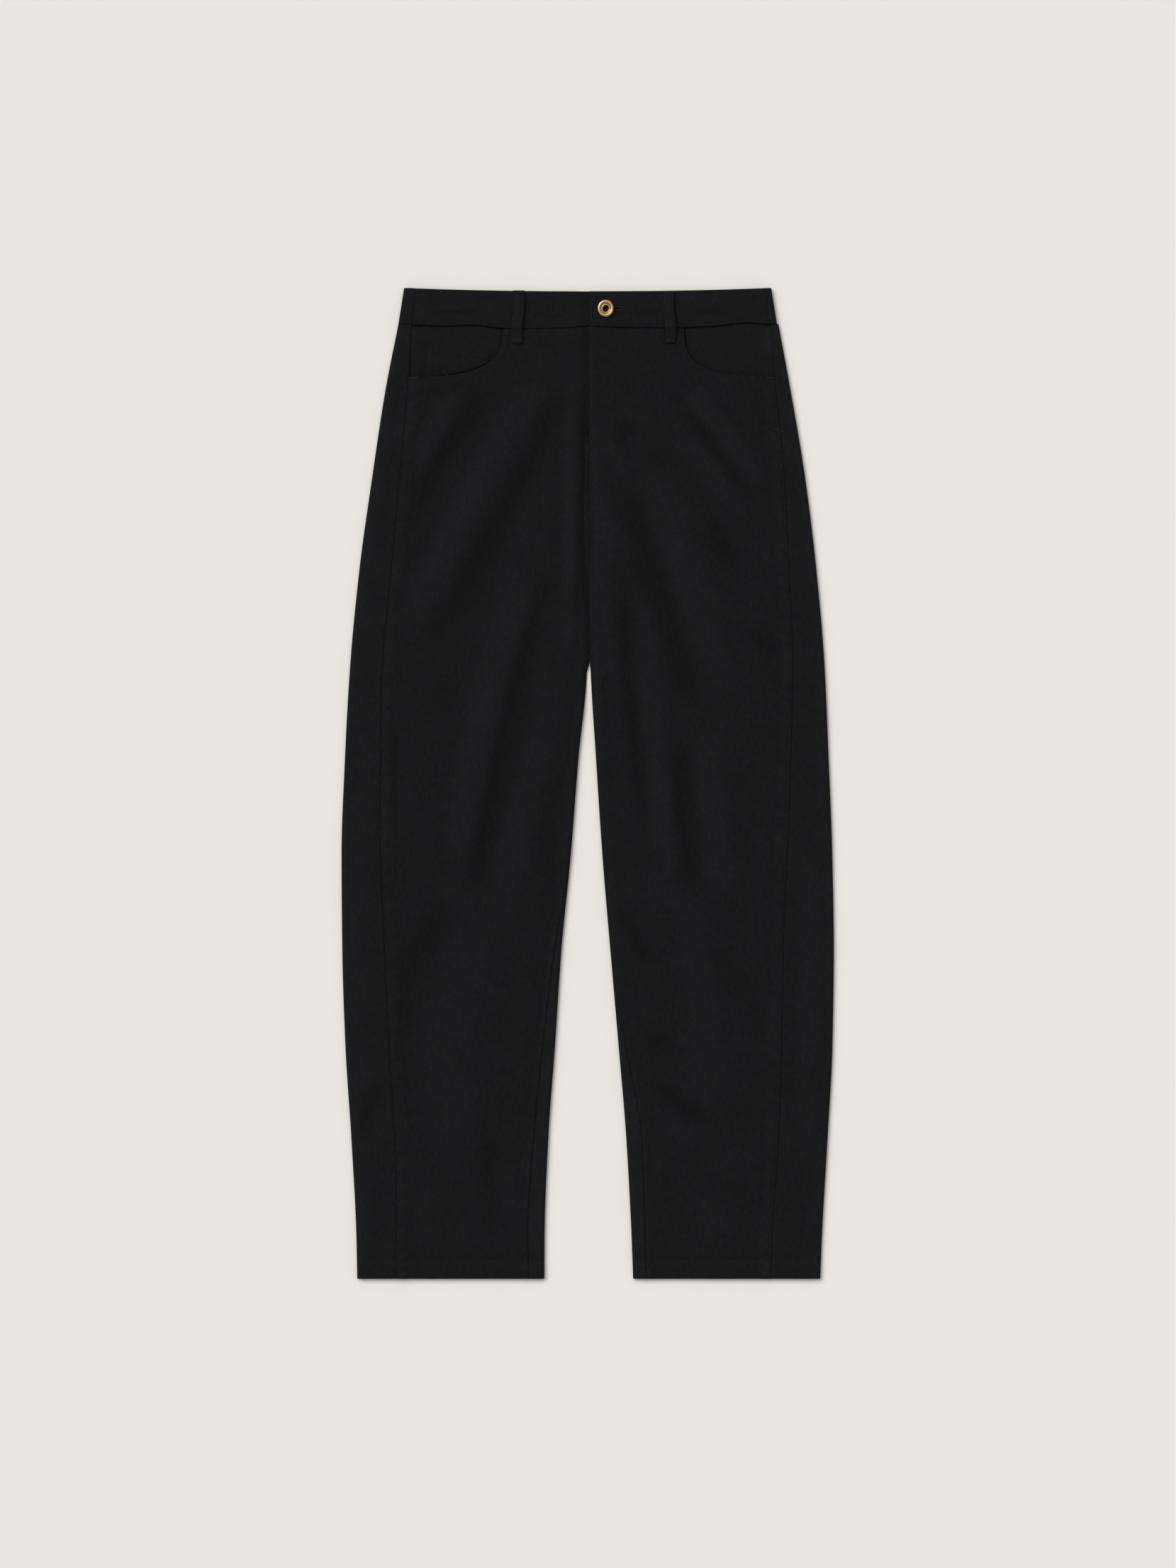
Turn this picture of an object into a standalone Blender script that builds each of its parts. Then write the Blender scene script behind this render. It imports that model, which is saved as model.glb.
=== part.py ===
"""Barrel leg trousers in black twill, laid flat on their back with the front up.

Blender uses metres, +Z up. X runs across, with the wearer's right leg at -X, and the waist is at +Y. The
origin lies on the surface under the middle of the outline. The sizes below are in millimetres. A place on
the cloth is given by x, the distance from the middle line, and by drop, the distance down from the highest
point of the waist. Each half of the garment is a flattened tube: its cloth is followed by a walk round the
fold at either edge, where 0 is the fold's outermost line, more than 0 leads on over the front and less than
0 leads on under the back.
"""

import math

import bpy
import numpy as np

MM = 0.001

# Overall sizes
LENGTH = 1048.0
CLOTH = 1.1                # one layer of the leg's cloth
HEM_CLOTH = 1.45           # the turned-up hem, pressed flat
HEM_DEPTH = 19.0
SEAM_GAP = 0.3             # between two pieces that a seam joins
LAYER_GAP = 0.4            # between two pieces that lie on each other

# The leg's flattened tube
LEG_TOP = 4.8              # height of the front's face where it has no fold
LEG_MIDDLE = 2.4           # height of a fold's outermost line
LEG_LEAST = 2.9            # the front stays clear of the back in its deepest trough
TOP_REACH = 3.8            # how far the upper half of the edge's round reaches in
BOTTOM_REACH = 3.0
ARC_SHARE = 1.25           # length of a quarter round over its reach
FOLD_FADE = 16.0           # folds run out this far from an edge of the leg
EDGE_ZONE = 10.0           # walk along the inner edge that has its own close columns

# Where the legs part
CROTCH = 254.0
CROTCH_RISE = 110.0        # length over which the front and the back close into two tubes

# The waistband, a double band
BAND_CLOTH = 2.0
BAND_TOP = 5.8
BAND_MIDDLE = 2.9
BAND_REACH = 3.6
WAIST_DIP = 3.4            # the middle of the top edge lies lower than its ends
WAIST_START = 0.8          # drop of its ends
WAIST_LEVEL = 190.0        # from here outwards the top edge is level
MIDDLE_DROP = (LENGTH + WAIST_START) / 2
BAND_EDGE_SOFTNESS = 0.5
BACK_SEAM = 38.6           # drop of the waistband's lower edge, all along the back

# The fly
FLY_END = 159.0
FLY_EDGE = 1.9             # x of the overlap's edge, from the waist to the fly's end
UNDERLAP = 12.0            # x to which the right front runs on under the overlap
LAP_STEP = 1.5             # how much lower the right front lies under the overlap
LAP_RISE = 0.5
BAND_UNDERLAP = 42.0
UNDERLAP_SHORT = 0.8       # the band's end is this much shorter where it runs on under the overlap
BAND_LAP_RISE = 0.8

# The hip pockets
POCKET_BOTTOM = 94.5
FACING_STEP = CLOTH + LAYER_GAP
FACING_MARGIN = 10.0       # how far the facing runs on under the front
POCKET_ROWS = 8
COIN_CLOTH = 1.0
COIN_CLEARANCE = 0.5

# The button
BUTTON_X = 19.0
BUTTON_DROP = 22.6
BUTTON_RADIUS = 8.7
BUTTON_HOLE_RADIUS = 3.3
BUTTON_HEIGHT = 3.3
POST_RADIUS = 1.6
POST_HEAD_RADIUS = 2.9
BUTTONHOLE_END = 36.0
BUTTONHOLE_HALF_WIDTH = 1.95
TURN_STEPS = 24

# One row for each section of a leg. outer and inner are the distances of its two edges from the middle line.
# outseam and inseam are how far those seams lie in from the edges, on the front.
LEG_COLUMNS = ("drop", "outer", "inner", "outseam", "inseam")
RIGHT_LEG = (
    (38.0, 200.0, 0.3, 14.5, 0.0),
    (110.0, 214.1, 0.3, 24.0, 0.0),
    (200.0, 227.8, 0.3, 29.4, 0.0),
    (300.0, 241.6, 0.5, 34.3, 0.0),
    (400.0, 251.2, 0.8, 34.9, 0.0),
    (500.0, 256.8, 9.9, 38.5, 0.0),
    (600.0, 260.3, 17.8, 41.7, 0.0),
    (700.0, 259.5, 27.7, 45.0, 6.7),
    (800.0, 256.3, 34.4, 46.8, 12.3),
    (900.0, 249.9, 41.6, 46.7, 15.0),
    (1000.0, 244.7, 45.5, 42.6, 17.3),
    (1048.0, 243.7, 45.8, 41.1, 15.7),
)
LEFT_LEG = (
    (38.0, 201.6, 0.3, 8.0, 0.0),
    (110.0, 214.8, 0.3, 15.5, 0.0),
    (200.0, 229.8, 0.3, 21.7, 0.0),
    (300.0, 242.0, 0.9, 28.8, 0.0),
    (400.0, 250.5, 3.0, 33.5, 0.0),
    (500.0, 254.9, 8.9, 40.0, 0.0),
    (600.0, 258.7, 15.5, 47.3, 0.0),
    (700.0, 260.3, 23.9, 53.3, 0.0),
    (800.0, 258.9, 32.5, 53.8, 8.0),
    (900.0, 253.7, 40.8, 51.7, 16.7),
    (1000.0, 247.9, 46.2, 52.5, 15.0),
    (1048.0, 246.0, 48.0, 52.0, 14.3),
)

# The waistband's lower edge, from the wearer's right to the left. It steps up at the fly.
WAIST_SEAM_COLUMNS = ("x", "drop")
WAIST_SEAM = (
    (-200.0, 38.7),
    (-150.0, 40.5),
    (-128.0, 39.6),
    (-80.0, 43.4),
    (-50.0, 43.5),
    (-10.0, 41.6),
    (1.0, 40.6),
    (14.0, 41.4),
    (76.0, 42.5),
    (130.0, 41.0),
    (168.0, 37.1),
    (188.0, 38.6),
    (201.0, 38.8),
)

# A pocket's edge is a quarter of a superellipse round the hip's outer corner.
POCKET_COLUMNS = ("leg", "mouth", "roundness")
POCKETS = (
    ("right", 89.3, 2.85),
    ("left", 102.0, 3.1),
)

# The folds of the cloth: troughs lie below the face and ridges above it. Each runs through three points.
FOLD_COLUMNS = ("name", "start", "middle", "end", "height", "width")
FOLDS = (
    ("right_hip_trough", (-96, 112), (-146, 168), (-186, 262), -1.5, 13),
    ("right_hip_ridge", (-128, 118), (-152, 142), (-176, 190), 1.4, 13),
    ("right_thigh_ridge", (-40, 84), (-108, 198), (-194, 372), 2.2, 15),
    ("right_thigh_trough", (-30, 112), (-84, 240), (-164, 384), -1.7, 15),
    ("crotch_ridge_right", (-15, 130), (-16, 240), (-18, 385), 1.0, 8),
    ("right_knee_ridge", (-62, 300), (-100, 430), (-134, 600), 2.4, 19),
    ("right_knee_trough", (-37, 296), (-78, 440), (-119, 642), -1.8, 13),
    ("right_knee_inner_ridge", (-30, 430), (-62, 540), (-84, 668), 1.8, 17),
    ("right_shin_trough", (-142, 652), (-188, 740), (-196, 880), -1.5, 20),
    ("right_shin_ridge", (-110, 650), (-136, 780), (-140, 940), 1.6, 26),
    ("right_calf_trough", (-219, 842), (-230, 872), (-241, 902), -1.0, 10),
    ("right_side_ridge", (-222, 440), (-238, 600), (-236, 780), 0.9, 14),
    ("fly_trough", (47, 142), (42, 156), (34, 170), -1.2, 10),
    ("left_thigh_trough", (32, 198), (66, 292), (112, 446), -1.8, 16),
    ("left_thigh_ridge", (64, 190), (104, 300), (140, 430), 2.2, 18),
    ("left_knee_trough", (98, 480), (104, 560), (118, 642), -1.6, 10),
    ("left_knee_ridge", (126, 470), (134, 560), (144, 650), 2.0, 16),
    ("left_inner_trough", (42, 290), (48, 430), (64, 582), -1.3, 11),
    ("left_inner_ridge", (66, 400), (74, 500), (86, 620), 1.6, 13),
    ("left_hip_trough", (88, 112), (128, 160), (172, 222), -1.3, 8),
    ("left_hip_ridge", (110, 116), (146, 160), (186, 214), 1.5, 11),
    ("left_side_trough", (128, 242), (142, 268), (156, 296), -1.1, 10),
    ("left_outer_trough", (172, 366), (188, 378), (204, 390), -1.0, 9),
    ("left_inseam_trough", (36, 656), (52, 688), (68, 720), -1.2, 9),
    ("left_shin_ridge", (100, 640), (126, 760), (130, 900), 1.5, 24),
    ("left_calf_trough", (66, 842), (100, 866), (136, 884), -1.2, 10),
    ("left_side_ridge", (228, 540), (236, 740), (230, 940), 1.2, 15),
)
CALM_DROP = 104.0          # above this the cloth lies smooth under the waistband
CALM_FADE = 26.0
FOLD_STEPS = 10

# The belt loops, from the waist's edge to their bar tacks
LOOP_COLUMNS = ("name", "top_x", "bottom_x", "top_drop", "bottom_drop")
LOOPS = (
    ("belt_loop_right", -72.8, -74.2, 3.6, 59.4),
    ("belt_loop_left", 85.9, 87.3, 4.4, 59.0),
)
LOOP_WIDTH = 12.0
LOOP_CLOTH = 1.7
LOOP_ARCH = 0.9
LOOP_CROWN = 0.25
LOOP_REST = 47.0           # below this drop a loop lies on the front

# Black twill, and antique brass with a darker post. Colours are linear.
CLOTH_COLOUR = (0.0105, 0.0105, 0.0117)
BRASS_COLOUR = (0.33, 0.23, 0.10)
POST_COLOUR = (0.045, 0.038, 0.028)


def curve(rows, columns, across, read):
    """A smooth function through one column of a table, which never swings past its rows."""
    knots = np.array([row[columns.index(across)] for row in rows])
    values = np.array([row[columns.index(read)] for row in rows])
    steps = np.diff(knots)
    secants = np.diff(values) / steps
    slopes = np.zeros(len(knots))
    before, after = secants[:-1], secants[1:]
    same_way = before * after > 0
    slopes[1:-1][same_way] = 2 * before[same_way] * after[same_way] / (before + after)[same_way]
    slopes[0], slopes[-1] = secants[0], secants[-1]

    def at(place):
        place = np.clip(np.asarray(place, float), knots[0], knots[-1])
        row = np.clip(np.searchsorted(knots, place) - 1, 0, len(steps) - 1)
        step = steps[row]
        part = (place - knots[row]) / step
        rise = part * part * (3 - 2 * part)
        leave = part * (1 - part) ** 2 * step * slopes[row]
        arrive = part * part * (part - 1) * step * slopes[row + 1]
        return values[row] * (1 - rise) + values[row + 1] * rise + leave + arrive

    return at


def smooth(value):
    """0 below 0, 1 above 1 and an even S between."""
    value = np.clip(value, 0, 1)
    return value * value * (3 - 2 * value)


class Leg:
    """One half of the garment: its side, -1 or 1, and its edges and seams as functions of drop."""

    def __init__(self, name, side, rows, pocket):
        self.name = name
        self.side = side
        self.outer = curve(rows, LEG_COLUMNS, "drop", "outer")
        self.inner = curve(rows, LEG_COLUMNS, "drop", "inner")
        self.outseam = curve(rows, LEG_COLUMNS, "drop", "outseam")
        self.inseam = curve(rows, LEG_COLUMNS, "drop", "inseam")
        self.mouth = pocket[POCKET_COLUMNS.index("mouth")]
        self.roundness = pocket[POCKET_COLUMNS.index("roundness")]

    def middle_edge(self, drop):
        """Distance of the front's middle edge from the middle line, towards this leg."""
        above = 1 - smooth((np.asarray(drop, float) - FLY_END + 8) / 14)
        lap = -UNDERLAP if self.side < 0 else FLY_EDGE
        return lap * above

    def outseam_x(self, drop):
        """Distance of the side seam from the middle line."""
        return self.outer(drop) - self.outseam(drop)


waist_seam = curve(WAIST_SEAM, WAIST_SEAM_COLUMNS, "x", "drop")


def waist_edge(x):
    """Drop of the waistband's top edge."""
    share = np.clip(np.abs(x) / WAIST_LEVEL, 0, 1)
    return WAIST_START + WAIST_DIP * (1 - share**2.2)


def fold_height(x, drop):
    """How far all the folds lift the front's face at a place, or sink it."""
    total = np.zeros(np.broadcast(x, drop).shape)
    part = np.linspace(0, 1, FOLD_STEPS + 1)
    for row in FOLDS:
        fold = dict(zip(FOLD_COLUMNS, row))
        start, end = np.array(fold["start"]), np.array(fold["end"])
        control = 2 * np.array(fold["middle"]) - 0.5 * (start + end)
        path = (
            np.outer((1 - part) ** 2, start)
            + np.outer(2 * part * (1 - part), control)
            + np.outer(part**2, end)
        )
        nearest = np.full(total.shape, np.inf)
        along = np.zeros(total.shape)
        for step in range(FOLD_STEPS):
            first, run = path[step], path[step + 1] - path[step]
            share = ((x - first[0]) * run[0] + (drop - first[1]) * run[1]) / (run @ run)
            share = np.clip(share, 0, 1)
            away = np.hypot(x - first[0] - share * run[0], drop - first[1] - share * run[1])
            closer = away < nearest
            nearest = np.where(closer, away, nearest)
            along = np.where(closer, (step + share) / FOLD_STEPS, along)
        fullness = 1 - np.abs(2 * along - 1) ** 4
        total += fold["height"] * fullness * np.exp(-((nearest / fold["width"]) ** 2))
    return total * smooth((drop - CALM_DROP) / CALM_FADE)


def front_height(leg, x, drop):
    """Height of the front's face of one leg, with its folds and its step at the fly."""
    away = np.abs(x)
    fade = smooth((leg.outer(drop) - away) / FOLD_FADE)
    parted = smooth((drop - CROTCH) / CROTCH_RISE)
    fade = fade * (1 - parted * (1 - smooth((away - leg.inner(drop)) / FOLD_FADE)))
    height = LEG_TOP + fade * fold_height(x, drop)
    fly = 1 - smooth((drop - FLY_END - 4) / 22)
    if leg.side < 0:
        height = height - LAP_STEP * fly * smooth((x + 16) / 14)
    else:
        height = height + LAP_RISE * fly * smooth((30 - x) / 22)
    return np.maximum(height, LEG_LEAST - LAP_STEP * 0.4 * fly)


def walk_round(walk, top_reach, bottom_reach):
    """How far in from a fold a walk leads, and its share of the rise from the fold's line to the face."""
    reach = np.where(walk >= 0, top_reach, bottom_reach)
    arc = reach * ARC_SHARE
    turn = np.clip(np.abs(walk) / arc, 0, 1) * math.pi / 2
    return reach * (1 - np.cos(turn)) + np.maximum(np.abs(walk) - arc, 0), np.sin(turn)


def walk_to(inward, reach):
    """The walk that leads this far in over the face, beyond the round."""
    return inward - reach + reach * ARC_SHARE


def leg_point(leg, edge, walk, drop):
    """A point of the leg's outer face, from a walk round its outer or its inner edge."""
    inward, share = walk_round(walk, TOP_REACH, BOTTOM_REACH)
    on_front = walk >= 0
    if edge == "outer":
        away = leg.outer(drop) - inward
    else:
        away = leg.inner(drop) + inward
        flat_away = np.where(on_front, leg.middle_edge(drop) + walk, -walk)
        closed = smooth((drop - CROTCH + CROTCH_RISE) / CROTCH_RISE)
        away = flat_away + closed * (away - flat_away)
        share = 1 + closed * (share - 1)
    x = leg.side * away
    face = front_height(leg, x, drop)
    height = np.where(
        on_front,
        LEG_MIDDLE + share * (face - LEG_MIDDLE),
        LEG_MIDDLE * (1 - share),
    )
    return np.stack([x, MIDDLE_DROP - drop, height], axis=-1)


def band_point(side, walk, drop):
    """A point of the waistband's outer face, from a walk round its end on one side."""
    inward, share = walk_round(walk, BAND_REACH, BAND_REACH)
    end = 194.2 + (drop - 1.0) * 6.0 / 38.0
    x = side * (end - inward)
    height = np.where(
        walk >= 0,
        BAND_MIDDLE + share * (BAND_TOP - BAND_MIDDLE),
        BAND_MIDDLE * (1 - share),
    )
    return np.stack([x, MIDDLE_DROP - drop, height], axis=-1)


def normals_of(point_at, walk, drop, sign):
    """Directions straight out of the face at each place of a grid."""
    across = point_at(walk + 0.05, drop) - point_at(walk - 0.05, drop)
    down = point_at(walk, drop + 0.4) - point_at(walk, drop - 0.4)
    normals = sign * np.cross(across, down)
    return normals / np.linalg.norm(normals, axis=-1, keepdims=True)


def leg_grid(leg, edge, walk, drop):
    """Outer points and inner points of a stretch of the leg's cloth."""

    def point_at(some_walk, some_drop):
        return leg_point(leg, edge, some_walk, some_drop)

    points = point_at(walk, drop)
    sign = leg.side if edge == "outer" else -leg.side
    turned_up = smooth((drop - (LENGTH - HEM_DEPTH) + 2) / 4)
    thickness = CLOTH + (HEM_CLOTH - CLOTH) * turned_up
    return points, points - thickness[..., None] * normals_of(point_at, walk, drop, sign)


def close_columns(first, last, count):
    """Walks from one to the other, closer together in the edge's round than on the flat cloth."""
    samples = np.linspace(0, 1, 81)
    walks = first[:, None] + samples * (last - first)[:, None]
    pull = 1 + 3 * np.exp(-((walks / 4.5) ** 2))
    total = np.concatenate([np.zeros((len(first), 1)), np.cumsum(pull[:, 1:] + pull[:, :-1], axis=1)], axis=1)
    shares = total / total[:, -1:]
    wanted = np.linspace(0, 1, count + 1)
    return np.stack([np.interp(wanted, share, walk) for share, walk in zip(shares, walks)])


def leg_drops():
    """Drops of the rows of a leg below its pocket."""
    fly = [112.0, 128.0, 144.0, FLY_END, 172.0]
    rise = [192.0, 212.0, 228.0, 242.0, CROTCH, 264.0, 280.0]
    leg = list(np.linspace(304, 1006, 27))
    hem = [LENGTH - HEM_DEPTH, LENGTH - 2, LENGTH]
    return np.array(fly + rise + leg + hem)


def pocket_edge(leg, turn):
    """x and drop on the edge of a hip pocket. turn runs from 0 at the waistband to 1 at the side seam."""
    angle = np.asarray(turn, float) * math.pi / 2
    power = 2 / leg.roundness
    top = waist_seam(leg.side * leg.mouth)
    corner = leg.outseam_x(POCKET_BOTTOM)
    away = corner - (corner - leg.mouth) * np.cos(angle) ** power
    drop = top + (POCKET_BOTTOM - top) * np.sin(angle) ** power
    return away, drop


def front_leg(leg):
    """The front panel: from the pocket's edge and the side seam to the fly, the middle seam and the inseam."""
    below = leg_drops()
    turns = np.linspace(0, 1, POCKET_ROWS + 1)
    pocket_away, pocket_drop = pocket_edge(leg, turns)
    pocket_drop[0] += SEAM_GAP / 2
    left_away = np.concatenate([pocket_away, leg.outseam_x(below)]) - SEAM_GAP / 2
    left_drop = np.concatenate([pocket_drop, below])
    middle_top = float(waist_seam(leg.side * FLY_EDGE)) + SEAM_GAP / 2
    right_drop = np.concatenate([np.linspace(middle_top, 100.0, POCKET_ROWS + 1), below])

    seam = np.where(right_drop < CROTCH, 0.0, walk_to(leg.inseam(right_drop), TOP_REACH))
    seam = np.where(leg.inseam(right_drop) < TOP_REACH, leg.inseam(right_drop) * ARC_SHARE, seam) + SEAM_GAP / 2
    inner_walk = close_columns(seam + EDGE_ZONE, seam, 5)
    inner_drop = np.repeat(right_drop[:, None], 6, axis=1)
    inner_x = leg_point(leg, "inner", inner_walk, inner_drop)[..., 0]
    zone_x = leg.side * inner_x[:, :1]
    follow = np.linspace(1, 0, POCKET_ROWS + 1)[:, None]
    lap_x = np.maximum(inner_x[:1], FLY_EDGE) if leg.side > 0 else np.minimum(inner_x[:1], -1.0)
    inner_drop[: POCKET_ROWS + 1] += follow * (waist_seam(lap_x) + SEAM_GAP / 2 - inner_drop[0])
    right_drop[: POCKET_ROWS + 1] = inner_drop[: POCKET_ROWS + 1, 0]

    share = np.linspace(0, 1, 14)[:-1]
    away = left_away[:, None] + share * (zone_x - left_away[:, None])
    drop = left_drop[:, None] + share * (right_drop - left_drop)[:, None]
    seam_line = waist_seam(leg.side * away[0]) + SEAM_GAP / 2
    drop[: POCKET_ROWS + 1] += follow * (seam_line - drop[0])
    main_walk = walk_to(leg.outer(drop) - away, TOP_REACH)

    main = leg_grid(leg, "outer", main_walk, drop)
    inner = leg_grid(leg, "inner", inner_walk, inner_drop)
    return [np.concatenate(pair, axis=1) for pair in zip(main, inner)]


def back_leg(leg):
    """The back panel: from the side seam on the front, round the outer edge, under, and round to the inseam."""
    top = np.array([BACK_SEAM + SEAM_GAP / 2, 58.0, 76.0, POCKET_BOTTOM])
    drops = np.concatenate([top, leg_drops()])
    start = walk_to(leg.outseam(drops), TOP_REACH) - SEAM_GAP / 2
    under = -BOTTOM_REACH * ARC_SHARE
    outer_walk = np.concatenate(
        [
            close_columns(start, np.full(len(drops), TOP_REACH * ARC_SHARE), 3)[:, :-1],
            close_columns(np.full(len(drops), TOP_REACH * ARC_SHARE), np.full(len(drops), under), 6),
        ],
        axis=1,
    )
    seam = walk_to(leg.inseam(drops), TOP_REACH)
    seam = np.where(leg.inseam(drops) < TOP_REACH, leg.inseam(drops) * ARC_SHARE, seam) - SEAM_GAP / 2
    inner_walk = close_columns(np.full(len(drops), under - 1.0), seam, 6)
    outer_drop = np.repeat(drops[:, None], outer_walk.shape[1], axis=1)
    inner_drop = np.repeat(drops[:, None], inner_walk.shape[1], axis=1)
    outer = leg_grid(leg, "outer", outer_walk, outer_drop)
    inner = leg_grid(leg, "inner", inner_walk, inner_drop)
    halfway = [0.5 * (one[:, -1:] + two[:, :1]) for one, two in zip(outer, inner)]
    return [np.concatenate(group, axis=1) for group in zip(outer, halfway, inner)]


def pocket_facing(leg):
    """The cloth inside a hip pocket, one layer below the front, which runs on under it."""
    across = np.linspace(0, 1, 10)[None, :]
    down = np.linspace(0, 1, 8)[:, None]
    turn = np.linspace(1, 0, 10)[None, :]
    away_edge, drop_edge = pocket_edge(leg, turn)
    far = FACING_MARGIN * np.sin(turn * math.pi / 2)
    near = FACING_MARGIN * np.cos(turn * math.pi / 2)
    bottom = drop_edge + far
    away = (away_edge - near) * np.ones_like(down)
    away = np.where(across == 0, leg.outseam_x(bottom), away)
    top = waist_seam(leg.side * away) + SEAM_GAP / 2
    drop = top + down * (bottom - top)
    away = away + (1 - across) ** 3 * (leg.outseam_x(drop) - SEAM_GAP / 2 - away)
    x = leg.side * away
    near_seam = smooth((14 - (leg.outseam_x(drop) - away)) / 12) * smooth((drop - 41) / 8) * (1 - smooth((drop - 62) / 18))
    height = LEG_TOP - FACING_STEP + (FACING_STEP - 0.3) * near_seam
    points = np.stack([x, MIDDLE_DROP - drop, height], axis=-1)
    return points, points - np.array([0, 0, CLOTH])


def coin_pocket(leg):
    """A patch on the right facing, whose top edge runs from its left end to the pocket's edge."""
    left_top, right_top = (168.4, 64.2), (104.5, 70.4)
    lean = 4.0
    across = np.linspace(0, 1, 8)[None, :]
    down = np.linspace(0, 1, 5)[:, None]
    away = left_top[0] + across * (right_top[0] - left_top[0]) + lean * down * (1 - across)
    away = away * np.ones_like(down)
    turns = np.linspace(0, 1, 200)
    edge_away, edge_drop = pocket_edge(leg, turns)
    bottom = np.interp(away, edge_away, edge_drop) - COIN_CLEARANCE
    bottom = bottom - 1.5 * across
    top = left_top[1] + across * (right_top[1] - left_top[1])
    drop = top + down * (bottom - top)
    height = np.full(drop.shape, LEG_TOP - FACING_STEP + SEAM_GAP + COIN_CLOTH)
    points = np.stack([leg.side * away, MIDDLE_DROP - drop, height], axis=-1)
    return points, points - np.array([0, 0, COIN_CLOTH])


def waistband_front(leg):
    """Half of the waistband's front, from the side seam to the fly."""
    down = np.array([0.0, 0.03, 0.34, 0.67, 1.0])[:, None]
    across = np.linspace(0, 1, 15)[None, :]
    seam_top, seam_bottom = (181.3, 185.4) if leg.side < 0 else (189.2, 192.6)
    start = seam_top + down * (seam_bottom - seam_top) - SEAM_GAP / 2
    end = -BAND_UNDERLAP if leg.side < 0 else FLY_EDGE
    x = leg.side * (start + across * (end - start))
    over = np.maximum(x, FLY_EDGE) if leg.side > 0 else np.minimum(x, -1.0)
    top = waist_edge(x)
    bottom = waist_seam(over) - SEAM_GAP / 2 - UNDERLAP_SHORT * smooth((x + 4) / 4) * (leg.side < 0)
    drop = top + down * (bottom - top)
    if leg.side < 0:
        height = BAND_TOP - LAP_STEP * smooth((x + 16) / 14)
    else:
        height = BAND_TOP + BAND_LAP_RISE * smooth((62 - x) / 20)
    height = height - BAND_EDGE_SOFTNESS * (down == 0)
    points = np.stack([x, MIDDLE_DROP - drop, height], axis=-1)
    inner = np.stack([x, MIDDLE_DROP - drop, height + BAND_EDGE_SOFTNESS * (down == 0) - BAND_CLOTH], axis=-1)
    return points, inner


def waistband_back():
    """The back of the waistband, which wraps forward round both ends to the side seams."""
    down = np.array([0.0, 0.03, 0.5, 1.0])
    pieces = []
    for side, seams in ((-1, (181.3, 185.4)), (1, (189.2, 192.6))):
        seam = seams[0] + down * (seams[1] - seams[0]) + SEAM_GAP / 2
        ends = 194.2 + down * 6.0
        start = walk_to(ends - seam, BAND_REACH)
        walk = close_columns(start, np.full(len(down), -BAND_REACH * ARC_SHARE), 7)
        drop = np.repeat(down[:, None], walk.shape[1], axis=1) * 37.0 + 1.0

        def point_at(some_walk, some_drop, side=side):
            return band_point(side, some_walk, some_drop)

        edge = waist_edge(point_at(walk, drop)[..., 0])
        drop = edge + down[:, None] * (BACK_SEAM - SEAM_GAP / 2 - edge)
        points = point_at(walk, drop)
        inner = points - BAND_CLOTH * normals_of(point_at, walk, drop, side)
        pieces.append((points, inner))
    flat_x = np.linspace(-190, 190, 9)[None, :] * np.ones((len(down), 1))
    edge = waist_edge(flat_x)
    drop = edge + down[:, None] * (BACK_SEAM - SEAM_GAP / 2 - edge)
    flat = np.stack([flat_x, MIDDLE_DROP - drop, np.zeros_like(drop)], axis=-1)
    flat_inner = flat + np.array([0, 0, BAND_CLOTH])
    right, left = pieces
    outer = np.concatenate([right[0], flat, left[0][:, ::-1]], axis=1)
    inner = np.concatenate([right[1], flat_inner, left[1][:, ::-1]], axis=1)
    return outer, inner


def belt_loop(top_x, bottom_x, top_drop, bottom_drop):
    """A narrow strip over the waistband, which stands a little off it between its two ends."""
    down = np.array([0.0, 0.04, 0.2, 0.4, 0.58, 0.7, 0.8, 0.9, 1.0])[:, None]
    across = np.linspace(-1, 1, 5)[None, :]
    x = top_x + down * (bottom_x - top_x) + across * LOOP_WIDTH / 2
    drop = (top_drop + down * (bottom_drop - top_drop)) * np.ones_like(across)
    rest = smooth((drop - LOOP_REST + 6) / 6)
    under = BAND_TOP + rest * (LEG_TOP - BAND_TOP) + SEAM_GAP
    height = under + LOOP_CLOTH + LOOP_ARCH * np.sin(down * math.pi) + LOOP_CROWN * (1 - across**2)
    points = np.stack([x, MIDDLE_DROP - drop, height], axis=-1)
    return points, points - np.array([0, 0, LOOP_CLOTH])


def material(name, colour, roughness, metallic):
    made = bpy.data.materials.new(name)
    made.use_nodes = True
    shader = made.node_tree.nodes["Principled BSDF"]
    shader.inputs["Base Color"].default_value = (*colour, 1)
    shader.inputs["Roughness"].default_value = roughness
    shader.inputs["Metallic"].default_value = metallic
    made.diffuse_color = (*colour, 1)
    return made


def add_object(name, points, faces, finish):
    """One object from points in millimetres, with its faces turned outwards."""
    mesh = bpy.data.meshes.new(name)
    mesh.from_pydata((np.asarray(points) * MM).tolist(), [], faces)
    mesh.calc_loop_triangles()
    corners = [[mesh.vertices[corner].co for corner in triangle.vertices] for triangle in mesh.loop_triangles]
    if sum(one.dot(two.cross(three)) for one, two, three in corners) < 0:
        mesh.flip_normals()
    mesh.shade_smooth()
    mesh.set_sharp_from_angle(angle=math.radians(40))
    mesh.materials.append(finish)
    made = bpy.data.objects.new(name, mesh)
    bpy.context.scene.collection.objects.link(made)
    return made


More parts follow.
